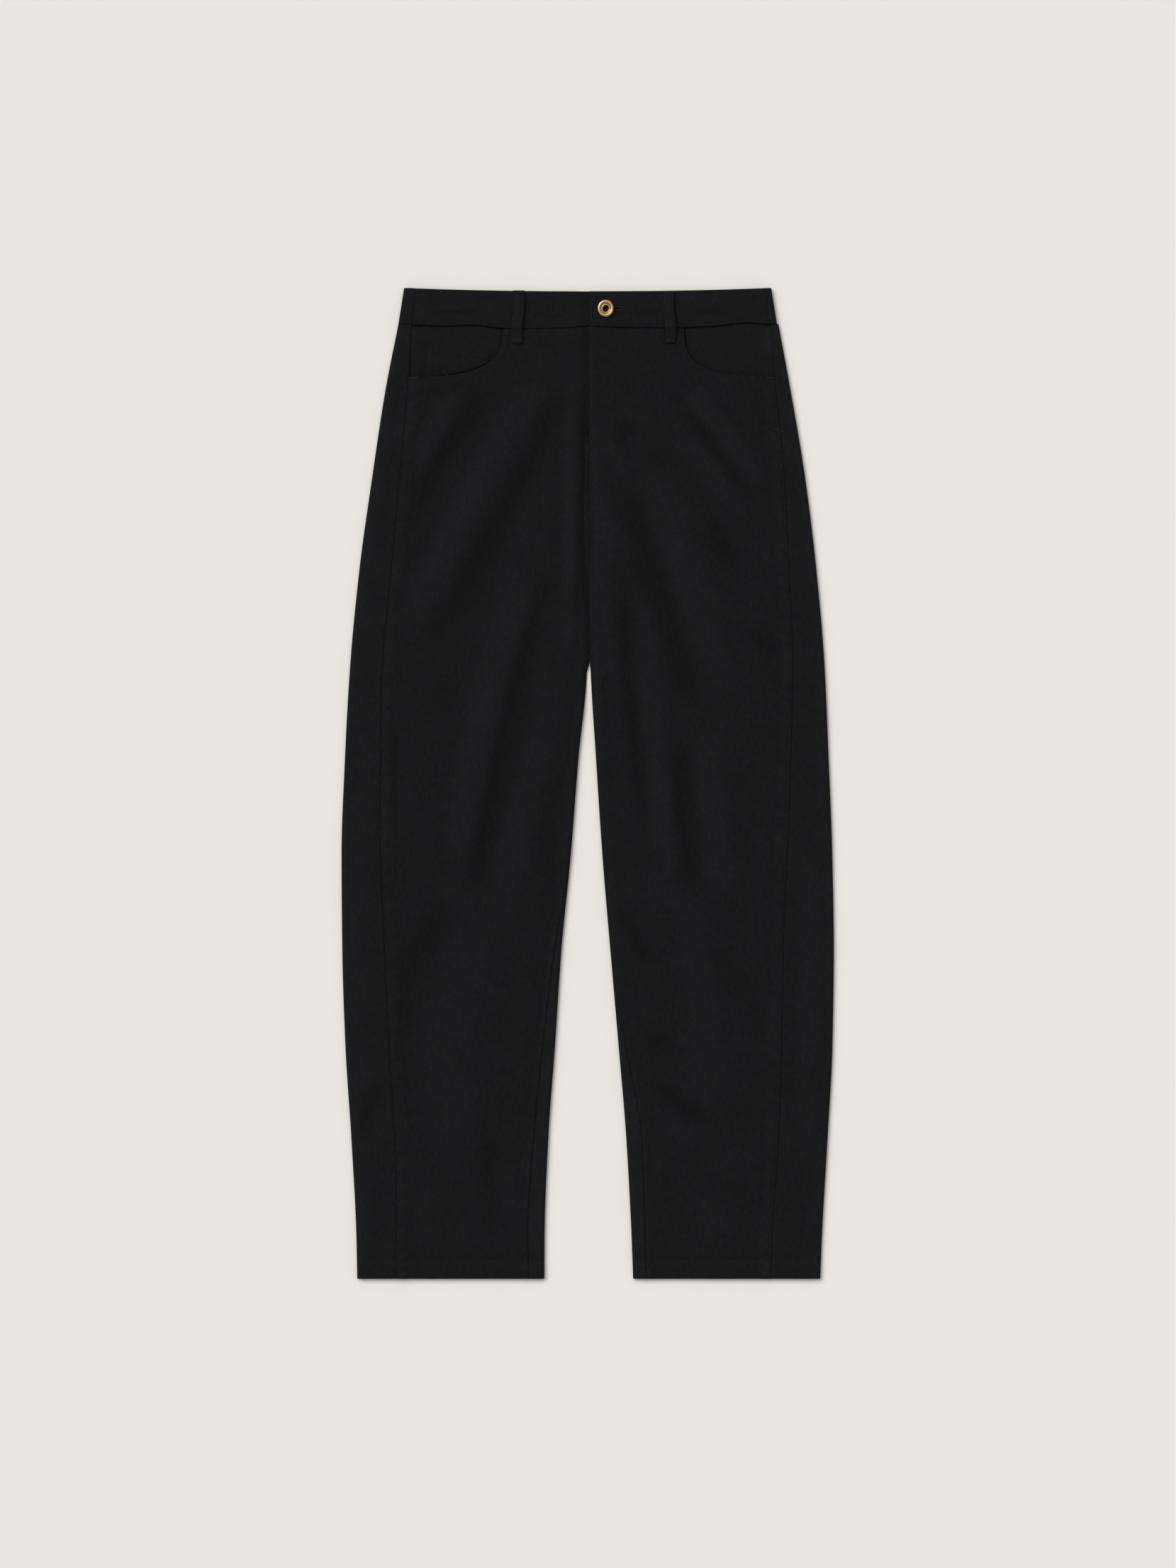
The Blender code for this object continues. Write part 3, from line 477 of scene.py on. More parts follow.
class Raster:
    """A table's folds, worked out once on an even raster and read between its points."""

    def __init__(self, table):
        self.x = np.arange(-RASTER_SIDE, RASTER_SIDE + 0.1, FOLD_CELL)
        self.drop = np.arange(RASTER_TOP, RASTER_END, FOLD_CELL)
        self.values = folds_at(table, self.x[None, :], self.drop[:, None])

    def at(self, x, drop):
        column = np.clip((x - self.x[0]) / FOLD_CELL, 0, len(self.x) - 1.001)
        row = np.clip((drop - self.drop[0]) / FOLD_CELL, 0, len(self.drop) - 1.001)
        left, top = column.astype(int), row.astype(int)
        right, down = column - left, row - top
        above = self.values[top, left] * (1 - right) + self.values[top, left + 1] * right
        below = self.values[top + 1, left] * (1 - right) + self.values[top + 1, left + 1] * right
        return above * (1 - down) + below * down


front_folds = Raster(FOLDS)
under_folds = Raster(UNDER_FOLDS)


def rolling(x, drop):
    """A slow unevenness that keeps the cloth from lying dead flat."""
    return ROLLING * (
        np.sin(x / 21.0 + drop / 47.0) * np.sin(drop / 33.0 - x / 58.0)
        + 0.6 * np.sin(x / 11.3 - drop / 29.0 + 1.3) * np.sin(drop / 19.0 + x / 37.0)
    )


def pocket_edge(leg, turn):
    """x and drop on the edge of a hip pocket. turn runs from 0 at the waistband to 1 at the side seam."""
    angle = np.asarray(turn, float) * math.pi / 2
    power = 2 / leg.roundness
    top = waist_seam(leg.side * leg.mouth)
    corner = leg.outseam_x(POCKET_BOTTOM)
    away = corner - (corner - leg.mouth) * np.cos(angle) ** power
    drop = top + (POCKET_BOTTOM - top) * np.sin(angle) ** power
    return away, drop


def even_path(path, count):
    """The same path with its points evenly apart."""
    path = np.asarray(path, float)
    lengths = np.concatenate([[0], np.cumsum(np.linalg.norm(np.diff(path, axis=0), axis=1))])
    wanted = np.linspace(0, lengths[-1], count)
    return np.stack([np.interp(wanted, lengths, path[:, axis]) for axis in range(path.shape[1])], axis=1)


def pocket_path(leg, count, inside=0.0):
    """Even points along a pocket's edge, or on a line this far inside the front's cloth."""
    away, drop = pocket_edge(leg, np.linspace(0, 1, 400))
    path = even_path(np.stack([leg.side * away, drop], axis=1), count)
    along = np.gradient(path, axis=0)
    along /= np.linalg.norm(along, axis=1, keepdims=True)
    inwards = leg.side * np.stack([-along[:, 1], along[:, 0]], axis=1)
    return path + inside * inwards


def sewn_rows(distance, rows):
    """Relief of stitch rows at these distances from an edge."""
    return -ROW_DEPTH * sum(bell(distance - row, ROW_WIDTH) for row in rows)


def outseam_relief(leg, away, drop):
    """The side seam: a felled edge with two stitch rows on the front, and a rounded edge on the back."""
    inside = leg.outseam_x(drop) - away
    below = smooth((drop - POCKET_BOTTOM + 2) / 6)
    on_front = smooth(inside / 0.4 + 0.5)
    felled = SEAM_RISE * (1 - smooth((inside - 11.4) / 2.6)) + sewn_rows(inside, OUTSEAM_ROWS)
    between = smooth(inside / 2) * (1 - smooth((inside - 10) / 6))
    felled = felled + PUCKER * between * ripple(drop + 0.5 * inside, leg.side + 2)
    back = 0.12 * bell(inside + 3, 3) + 0.5 * PUCKER * bell(inside + 3, 5) * ripple(drop, leg.side)
    roll = -EDGE_ROLL * bell(inside, EDGE_ROLL_WIDTH)
    return on_front * felled * below + (1 - on_front) * back + roll * smooth((drop - 38) / 4)


def pocket_relief(leg, x, drop):
    """The front's cloth along a pocket: it stands off the facing, and two stitch rows follow its edge."""
    distance, along = nearest_on(pocket_path(leg, 90), x, drop, reach=22)
    near = np.isfinite(distance)
    relief = np.zeros(distance.shape)
    far, place = distance[near], along[near]
    belly = np.clip(np.sin(math.pi * np.clip(place * 1.04, 0, 1)), 0, 1) ** 0.6
    relief[near] = (
        POCKET_LIFT * belly * bell(far, 9.0)
        + sewn_rows(far, POCKET_STITCH_ROWS)
        - EDGE_ROLL * bell(far, EDGE_ROLL_WIDTH)
        + PUCKER * 0.8 * bell(far - 5, 5) * ripple(place * 130, leg.side)
    )
    return relief


def fly_row_path(x):
    """One row of the stitching that holds the fly: down beside it and round to its end."""
    run = x - FLY_ROW_END
    rise = FLY_ROW_BOTTOM - (FLY_ROW_X[1] - x) * 0.9 - FLY_ROW_TURN
    angle = np.linspace(0, math.pi / 2, 24)
    turned = np.stack([FLY_ROW_END + run * np.cos(angle), FLY_ROW_TURN + rise * np.sin(angle)], axis=1)
    return np.concatenate([[[x, FLY_ROW_TOP]], turned])


def middle_relief(leg, x, drop):
    """The fly and the seam below it, on the front of one leg."""
    relief = np.zeros(np.broadcast(x, drop).shape)
    seam_part = smooth((drop - FLY_END + 6) / 10) * (1 - smooth((drop - CROTCH) / 60))
    relief -= 1.0 * seam_part * bell(x, 1.8)
    relief += 0.25 * seam_part * ripple(drop + x, leg.side) * bell(x - leg.side * 5, 6)
    if leg.side > 0:
        sewn = smooth((drop - CROTCH_ROWS_TOP) / 4) * (1 - smooth((drop - CROTCH_ROWS_BOTTOM) / 4))
        relief += sewn * (sewn_rows(x, CROTCH_ROWS) + 0.35 * bell(x - 5, 5))
        for row_x in FLY_ROW_X:
            distance, _ = nearest_on(fly_row_path(row_x), x, drop, reach=5)
            relief -= ROW_DEPTH * np.where(np.isfinite(distance), bell(distance, ROW_WIDTH), 0)
        fly = 1 - smooth((drop - FLY_END - 2) / 6)
        relief -= EDGE_ROLL * fly * bell(x - FLY_EDGE, EDGE_ROLL_WIDTH)
        relief += fly * (0.3 * bell(x - 14, 9) * ripple(drop * 0.55, 1.7) + 0.35 * bell(x - 6, 4))
    else:
        relief -= FLY_SINK * (1 - smooth((drop - FLY_END + 4) / 10)) * bell(x + 0.5, FLY_SINK_WIDTH)
    return relief


def hem_relief(leg, away, drop):
    """The turned-up hem: thicker cloth, its stitch row, the slanting pull below it and its rounded edge."""
    up = LENGTH - drop
    turned = smooth((HEM_DEPTH + 2 - up) / 3)
    pull = bell(up - 9, 8) * ripple(1.4 * away + 0.9 * drop, leg.side) * 0.22
    from_inseam = away - leg.inner(drop) - leg.inseam(drop)
    seam = bell(leg.outseam_x(drop) - away - 5.5, 6.5) + 0.6 * bell(from_inseam, 5)
    roll = -0.55 * bell(up, 1.1)
    return turned * (0.35 + pull + 0.45 * seam) - ROW_DEPTH * bell(up - HEM_DEPTH, ROW_WIDTH) + roll


def inseam_relief(leg, away, drop):
    """The inseam, where it has rolled on to the front: a pressed edge with a puckered ridge beside it."""
    inside = away - leg.inner(drop) - leg.inseam(drop)
    shown = smooth((leg.inseam(drop) - 2) / 4)
    ridge = 0.4 * bell(inside - 2.6, 2.2) + PUCKER * bell(inside - 3, 4) * ripple(drop, 3 + leg.side)
    return shown * (ridge - EDGE_ROLL * bell(inside, EDGE_ROLL_WIDTH))


def waist_relief(x, drop):
    """The legs' cloth just below the waistband: drawn into the seam and a little gathered."""
    below = drop - waist_seam(x)
    gathered = np.exp(-np.clip(below, 0, None) / WAIST_PUCKER_REACH) * smooth(below / 3)
    return WAIST_PUCKER * gathered * ripple(1.3 * x + 0.25 * drop, 0.6) - 0.55 * bell(below, 1.3)


def crease_share(drop):
    """How deep the crease between the touching legs is, from 0 to 1."""
    start = smooth((drop - CREASE_START) / CREASE_FADE)
    return start * (1 - smooth((drop - PARTING - CREASE_FADE / 2) / CREASE_FADE))


def front_height(leg, x, drop):
    """Height of the front's face of one leg, with its folds, its sewing and its step at the fly."""
    x, drop = np.broadcast_arrays(np.asarray(x, float), np.asarray(drop, float))
    away = leg.side * x
    fade = smooth((leg.outer(drop) - away) / FOLD_FADE)
    parted = smooth((drop - CROTCH) / CROTCH_RISE)
    fade = fade * (1 - parted * (1 - smooth((away - leg.inner(drop)) / FOLD_FADE)))
    calm = smooth((drop - CALM_DROP) / CALM_FADE)
    height = LEG_TOP + fade * (calm * front_folds.at(x, drop) + (0.3 + 0.7 * calm) * rolling(x, drop))
    fly = 1 - smooth((drop - FLY_END - 4) / 22)
    if leg.side < 0:
        height = height - LAP_STEP * fly * smooth((x + 16) / 14)
    else:
        height = height + LAP_RISE * fly * smooth((30 - x) / 22)
    height = np.maximum(height, LEG_LEAST - LAP_STEP * 0.4 * fly)
    depth, width = CREASE_FALLS[leg.name]
    height = height - depth * crease_share(drop) * bell(away - leg.inner(drop), width)
    height = height + outseam_relief(leg, away, drop) + middle_relief(leg, x, drop)
    height = height + hem_relief(leg, away, drop) + inseam_relief(leg, away, drop)
    return height + waist_relief(x, drop) + pocket_relief(leg, x, drop)


def walk_round(walk, top_reach, bottom_reach):
    """How far in from a fold a walk leads, and its share of the rise from the fold's line to the face."""
    reach = np.where(walk >= 0, top_reach, bottom_reach)
    arc = reach * ARC_SHARE
    turn = np.clip(np.abs(walk) / arc, 0, 1) * math.pi / 2
    return reach * (1 - np.cos(turn)) + np.maximum(np.abs(walk) - arc, 0), np.sin(turn)


def walk_to(inward, reach):
    """The walk that leads this far in over the face, beyond the round."""
    return inward - reach + reach * ARC_SHARE


def leg_point(leg, edge, walk, drop):
    """A point of the leg's outer face, from a walk round its outer or its inner edge."""
    inward, share = walk_round(walk, TOP_REACH if edge == "outer" else inner_reach(drop), BOTTOM_REACH)
    on_front = walk >= 0
    if edge == "outer":
        away = leg.outer(drop) - inward
    else:
        away = leg.inner(drop) + inward
        flat_away = np.where(on_front, leg.middle_edge(drop) + walk, -walk)
        closed = smooth((drop - CROTCH + CROTCH_RISE) / CROTCH_RISE)
        away = flat_away + closed * (away - flat_away)
        share = 1 + closed * (share - 1)
    x = leg.side * away
    face = front_height(leg, x, drop)
    middle = LEG_MIDDLE
    if edge == "inner":
        middle = LEG_MIDDLE - CREASE_DEPTH * crease_share(drop)
    height = np.where(on_front, middle + share * (face - middle), middle * (1 - share))
    return np.stack([x, MIDDLE_DROP - drop, height], axis=-1)


def inner_layer(points, sign, thickness):
    """The inside of a wall of cloth, straight in from its outer points."""
    normals = sign * np.cross(np.gradient(points, axis=1), np.gradient(points, axis=0))
    normals /= np.linalg.norm(normals, axis=-1, keepdims=True)
    return points - np.asarray(thickness)[..., None] * normals


def leg_thickness(drop):
    turned_up = smooth((drop - (LENGTH - HEM_DEPTH) + 2) / 4)
    return CLOTH + (HEM_CLOTH - CLOTH) * turned_up


def close_columns(first, last, count, seam=None):
    """Walks from one to the other, closer together in the edge's round and beside a seam."""
    samples = np.linspace(0, 1, 161)
    walks = first[:, None] + samples * (last - first)[:, None]
    pull = 1 + 3 * bell(walks, 4.5)
    if seam is not None:
        pull = pull + 4 * bell(walks - seam[:, None], 3.0)
    total = np.concatenate([np.zeros((len(first), 1)), np.cumsum(pull[:, 1:] + pull[:, :-1], axis=1)], axis=1)
    shares = total / total[:, -1:]
    wanted = np.linspace(0, 1, count + 1)
    return np.stack([np.interp(wanted, share, walk) for share, walk in zip(shares, walks)])


def dense_ends(count, pull=0.78):
    """Shares from 0 to 1 that lie closer together near both ends."""
    even = np.linspace(0, 1, count + 1)
    return even - pull * np.sin(2 * math.pi * even) / (2 * math.pi)


def leg_drops():
    """Drops of the rows of a leg below its pocket."""
    body = np.linspace(BODY_TOP, LENGTH - 25.0, BODY_ROWS)
    hem = np.linspace(LENGTH - 23.5, LENGTH - 1.2, HEM_ROWS)
    return np.concatenate([body, hem, [LENGTH - 0.5, LENGTH]])


def inseam_walk(leg, drop):
    """The walk round the leg's inner edge that leads to the inseam."""
    inseam = leg.inseam(drop)
    return np.where(inseam < TOP_REACH, inseam * ARC_SHARE, walk_to(inseam, TOP_REACH))


def front_leg(leg):
    """The front panel: from the pocket's edge and the side seam to the fly, the crotch and the inseam."""
    below = leg_drops()
    pocket = pocket_path(leg, POCKET_ROWS + 1)
    pocket[0, 1] += SEAM_GAP / 2
    left_away = np.concatenate([np.abs(pocket[:, 0]), leg.outseam_x(below)]) - SEAM_GAP / 2
    left_drop = np.concatenate([pocket[:, 1], below])
    middle_top = float(waist_seam(leg.side * FLY_EDGE)) + SEAM_GAP / 2
    right_drop = np.concatenate([np.linspace(middle_top, POCKET_ROWS_END, POCKET_ROWS + 1), below])

    seam = inseam_walk(leg, right_drop) + SEAM_GAP / 2
    inner_walk = close_columns(seam + EDGE_ZONE, seam, INNER_COLUMNS, seam)
    inner_drop = np.repeat(right_drop[:, None], INNER_COLUMNS + 1, axis=1)
    inner_x = leg_point(leg, "inner", inner_walk, inner_drop)[..., 0]
    zone_x = leg.side * inner_x[:, :1]
    follow = np.linspace(1, 0, POCKET_ROWS + 1)[:, None]
    lap_x = np.maximum(inner_x[:1], FLY_EDGE) if leg.side > 0 else np.minimum(inner_x[:1], -1.0)
    inner_drop[: POCKET_ROWS + 1] += follow * (waist_seam(lap_x) + SEAM_GAP / 2 - inner_drop[0])
    right_drop[: POCKET_ROWS + 1] = inner_drop[: POCKET_ROWS + 1, 0]

    share = dense_ends(MAIN_COLUMNS)[:-1]
    away = left_away[:, None] + share * (zone_x - left_away[:, None])
    drop = left_drop[:, None] + share * (right_drop - left_drop)[:, None]
    seam_line = waist_seam(leg.side * away[0]) + SEAM_GAP / 2
    drop[: POCKET_ROWS + 1] += follow * (seam_line - drop[0])
    main = leg_point(leg, "outer", walk_to(leg.outer(drop) - away, TOP_REACH), drop)
    inner = leg_point(leg, "inner", inner_walk, inner_drop)
    points = np.concatenate([main, inner], axis=1)
    return points, inner_layer(points, leg.side, leg_thickness(MIDDLE_DROP - points[..., 1]))


def back_leg(leg):
    """The back panel: from the side seam on the front, round the outer edge and under to the inseam."""
    drops = np.concatenate([np.linspace(BACK_SEAM + SEAM_GAP / 2, BACK_ROWS_END, BACK_ROWS), leg_drops()])
    count = len(drops)
    start = walk_to(leg.outseam(drops), TOP_REACH) - SEAM_GAP / 2
    turn = np.full(count, TOP_REACH * ARC_SHARE)
    under = np.full(count, -BOTTOM_REACH * ARC_SHARE)
    flap = close_columns(start, turn, FLAP_COLUMNS, start)[:, :-1]
    outer_walk = np.concatenate([flap, close_columns(turn, under, ROUND_COLUMNS)], axis=1)
    seam = inseam_walk(leg, drops) - SEAM_GAP / 2
    inner_walk = close_columns(under - 1.0, seam, INSEAM_COLUMNS, seam)
    outer = leg_point(leg, "outer", outer_walk, np.repeat(drops[:, None], outer_walk.shape[1], axis=1))
    inner = leg_point(leg, "inner", inner_walk, np.repeat(drops[:, None], inner_walk.shape[1], axis=1))
    share = np.linspace(0, 1, UNDER_COLUMNS)[1:-1][None, :, None]
    under_side = outer[:, -1:] * (1 - share) + inner[:, :1] * share
    calm = np.minimum(smooth(share[..., 0] * 9), smooth((1 - share[..., 0]) * 9))
    under_side[..., 2] += calm * under_folds.at(under_side[..., 0], MIDDLE_DROP - under_side[..., 1])
    points = np.concatenate([outer, under_side, inner], axis=1)
    return points, inner_layer(points, -leg.side, leg_thickness(MIDDLE_DROP - points[..., 1]))


def pocket_sink(leg, x, drop):
    """How far the cloth inside a pocket sinks beside the pocket's edge."""
    distance, _ = nearest_on(pocket_path(leg, 60), x, drop, reach=3 * POCKET_SINK_WIDTH)
    return POCKET_SINK * np.where(np.isfinite(distance), bell(distance, POCKET_SINK_WIDTH), 0)


def pocket_facing(leg):
    """The cloth inside a hip pocket, one layer below the front, which runs on under it."""
    across = np.linspace(0, 1, 46)[None, :]
    down = dense_ends(34, 0.5)[:, None]
    turn = np.linspace(1, 0, 46)[None, :]
    away_edge, drop_edge = pocket_edge(leg, turn)
    bottom = drop_edge + FACING_MARGIN * np.sin(turn * math.pi / 2)
    away = (away_edge - FACING_MARGIN * np.cos(turn * math.pi / 2)) * np.ones_like(down)
    away = np.where(across == 0, leg.outseam_x(bottom), away)
    top = waist_seam(leg.side * away) + SEAM_GAP / 2
    drop = top + down * (bottom - top)
    away = away + (1 - across) ** 3 * (leg.outseam_x(drop) - SEAM_GAP / 2 - away)
    x = leg.side * away
    top = waist_seam(x) + SEAM_GAP / 2
    drop = top + down * (bottom - top)
    inside = leg.outseam_x(drop) - away
    near_seam = smooth((14 - inside) / 12) * smooth((drop - 41) / 8) * (1 - smooth((drop - 62) / 18))
    height = LEG_TOP - FACING_STEP + (FACING_STEP - 0.3) * near_seam - pocket_sink(leg, x, drop)
    if leg.side < 0:
        coin_side = COIN_LEFT_TOP[0] + COIN_LEAN * np.clip((drop - COIN_LEFT_TOP[1]) / COIN_HEIGHT, 0, 1)
        beside = bell(away - coin_side - 2.4, 2.2) * smooth((drop - COIN_LEFT_TOP[1] + 3) / 5)
        height = height - COIN_SHADE * beside
    height = np.maximum(height, FACING_LEAST)
    below = drop - waist_seam(x)
    height = height - 0.35 * bell(below, 1.4) + 0.18 * ripple(0.8 * x, 2.2) * bell(below, 14)
    height = height - EDGE_ROLL * 0.6 * bell(inside, EDGE_ROLL_WIDTH) * near_seam
    points = np.stack([x, MIDDLE_DROP - drop, height], axis=-1)
    return points, points - np.array([0, 0, CLOTH])


def coin_pocket(leg):
    """A patch on the right facing, whose top edge runs from its left end to the pocket's edge."""
    across = dense_ends(40, 0.7)[None, :]
    down = dense_ends(22, 0.6)[:, None]
    away = COIN_LEFT_TOP[0] + across * (COIN_RIGHT_TOP[0] - COIN_LEFT_TOP[0])
    away = away + COIN_LEAN * down * (1 - across)
    edge_away, edge_drop = pocket_edge(leg, np.linspace(0, 1, 200))
    bottom = np.interp(away, edge_away, edge_drop) - COIN_CLEARANCE - 1.5 * across
    top = COIN_LEFT_TOP[1] + across * (COIN_RIGHT_TOP[1] - COIN_LEFT_TOP[1])
    drop = top + down * (bottom - top)
    from_top = drop - top
    from_side = (COIN_LEFT_TOP[0] + COIN_LEAN * down) - away
    height = LEG_TOP - FACING_STEP + SEAM_GAP + COIN_CLOTH - 0.9 * pocket_sink(leg, leg.side * away, drop)
    height = height + 0.35 * bell(from_side - 2, 3) + 0.3 * bell(from_top - 1, 3)
    height = height + sewn_rows(from_top, COIN_TOP_ROWS) * 0.8 + sewn_rows(from_side, (COIN_SIDE_ROW,)) * 0.8
    height = height + 0.25 * bell(from_top - 4, 4) * ripple(away, 0.4) - 0.35 * bell(from_top, 0.8)
    height = height - 0.35 * bell(from_side, 0.8)
    height = height + 0.2 * smooth(from_top / 5) * ripple(0.5 * away + drop, 1.1)
    points = np.stack([leg.side * away, MIDDLE_DROP - drop, height], axis=-1)
    return points, points - np.array([0, 0, COIN_CLOTH])


def band_relief(x, drop):
    """Creases of the waistband, its rounded top, its stitch row and the seam below."""
    top, bottom = waist_edge(x), waist_seam(x)
    from_top = drop - top
    from_seam = bottom - drop
    relief = folds_at(BAND_FOLDS, x, drop)
    relief = relief + 0.16 * ripple(0.45 * x + 1.3 * drop, 0.3) * smooth(from_top / 5) * smooth(from_seam / 5)
    relief = relief + 0.16 * bell(from_seam - 4, 4) * ripple(1.1 * x, 1.9)
    relief = relief - 0.95 * (1 - np.sqrt(1 - np.clip(1 - from_top / 1.5, 0, 1) ** 2))
    return relief + sewn_rows(from_seam, (WAIST_ROW,)) - 0.5 * bell(from_seam, 0.9)


def waistband_front(leg):
    """Half of the waistband's front, from the side seam to the fly."""
    down = BAND_ROWS[:, None]
    across = dense_ends(116, 0.6)[None, :]
    seam_top, seam_bottom = BAND_SEAMS[leg.name]
    start = seam_top + down * (seam_bottom - seam_top) - SEAM_GAP / 2
    end = -BAND_UNDERLAP if leg.side < 0 else FLY_EDGE
    x = leg.side * (start + across * (end - start))
    over = np.maximum(x, FLY_EDGE) if leg.side > 0 else np.minimum(x, -1.0)
    top = waist_edge(x)
    bottom = waist_seam(over) - SEAM_GAP / 2 - UNDERLAP_SHORT * smooth((x + 4) / 4) * (leg.side < 0)
    drop = top + down * (bottom - top)
    if leg.side < 0:
        height = BAND_TOP - LAP_STEP * smooth((x + 16) / 14)
    else:
        height = BAND_TOP + BAND_LAP_RISE * smooth((62 - x) / 20)
    base = np.stack([x, MIDDLE_DROP - drop, height - BAND_CLOTH], axis=-1)
    height = height + band_relief(x, drop) - 0.45 * bell(leg.side * x - start, 1.0)
    if leg.side > 0:
        height = height - 0.5 * bell(x - FLY_EDGE, 1.0) - 0.25 * bell(x - FLY_EDGE - WAIST_ROW, ROW_WIDTH)
    return np.stack([x, MIDDLE_DROP - drop, height], axis=-1), base


def band_point(side, walk, drop):
    """A point of the waistband's outer face, from a walk round its end on one side."""
    inward, share = walk_round(walk, BAND_REACH, BAND_REACH)
    end = BAND_END_TOP + (drop - BAND_START) * BAND_END_SPREAD / BAND_SPREAD_DEPTH
    x = side * (end - inward)
    seam_top, seam_bottom = BAND_SEAMS["right" if side < 0 else "left"]
    seam = seam_top + (drop - BAND_START) * (seam_bottom - seam_top) / BAND_DEPTH
    face = BAND_TOP - 0.45 * bell(np.abs(x) - seam, 1.0) - 0.5 * bell(BACK_SEAM - drop, 0.9)
    face = face - ROW_DEPTH * bell(BACK_SEAM - WAIST_ROW - drop, ROW_WIDTH)
    face = face - 0.5 * bell(drop - BAND_START, 0.9)
    height = np.where(walk >= 0, BAND_MIDDLE + share * (face - BAND_MIDDLE), BAND_MIDDLE * (1 - share))
    return np.stack([x, MIDDLE_DROP - drop, height], axis=-1)


def waistband_back():
    """The back of the waistband, which wraps forward round both ends to the side seams."""
    down = BAND_ROWS
    ends = BAND_END_TOP + down * BAND_END_SPREAD
    wrapped = []
    for side, name in ((-1, "right"), (1, "left")):
        seam_top, seam_bottom = BAND_SEAMS[name]
        seam = seam_top + down * (seam_bottom - seam_top) + SEAM_GAP / 2
        start = walk_to(ends - seam, BAND_REACH)
        walk = close_columns(start, np.full(len(down), -BAND_REACH * ARC_SHARE), 26)
        drop = np.repeat(down[:, None], walk.shape[1], axis=1) * BAND_DEPTH + BAND_START
        edge = waist_edge(band_point(side, walk, drop)[..., 0])
        drop = edge + down[:, None] * (BACK_SEAM - SEAM_GAP / 2 - edge)
        wrapped.append(band_point(side, walk, drop))
    right, left = wrapped
    flat_x = np.linspace(-190, 190, 61)[None, :] * np.ones((len(down), 1))
    edge = waist_edge(flat_x)
    drop = edge + down[:, None] * (BACK_SEAM - SEAM_GAP / 2 - edge)
    soft_edge = 0.4 * bell(drop - edge, 1.2)
    flat = np.stack([flat_x, MIDDLE_DROP - drop, soft_edge], axis=-1)
    points = np.concatenate([right, flat, left[:, ::-1]], axis=1)
    inner = inner_layer(points, 1, np.full(points.shape[:2], BAND_CLOTH))
    inner[:, right.shape[1] : -left.shape[1], 2] = BAND_CLOTH
    return points, inner


def belt_loop(top_x, bottom_x, top_drop, bottom_drop, lean, bulge):
    """A narrow folded strip over the waistband, which stands off it between its two sewn ends."""
    down = np.linspace(0, 1, 64)[:, None]
    across = np.array([-1, -0.93, -0.8, -0.55, -0.25, 0.05, 0.35, 0.6, 0.82, 0.94, 1.0])[None, :]
    bow = np.sin(down * math.pi)
    x = top_x + down * (bottom_x - top_x) + lean * np.sin(down * 2 * math.pi) + across * LOOP_WIDTH / 2
    drop = (top_drop + down * (bottom_drop - top_drop)) * np.ones_like(across)
    rest = smooth((drop - LOOP_REST + 6) / 6)
    under = BAND_TOP + rest * (LEG_TOP - BAND_TOP) + SEAM_GAP + 0.1
    under = under + LOOP_ARCH * bow + bulge * bell(down - 0.66, 0.14)
    round_off = 0.8 * np.clip((np.abs(across) - 0.72) / 0.28, 0, 1) ** 2
    face = under + LOOP_CLOTH + 0.25 * (1 - across**2) - round_off
    face = face - 0.22 * bell(np.abs(across) * LOOP_WIDTH / 2 - LOOP_ROW, 0.8)
    face = face - 0.5 * bell(down * LOOP_LENGTH - LOOP_LOWER_ROW, 1.2)
    face = face - 0.4 * bell(down * LOOP_LENGTH, 1.2) - 0.5 * bell((1 - down) * LOOP_LENGTH, 0.8)
    face = face + 0.12 * ripple(drop * 0.8, lean)
    base = np.stack([x, MIDDLE_DROP - drop, under * np.ones_like(across)], axis=-1)
    return np.stack([x, MIDDLE_DROP - drop, face], axis=-1), base


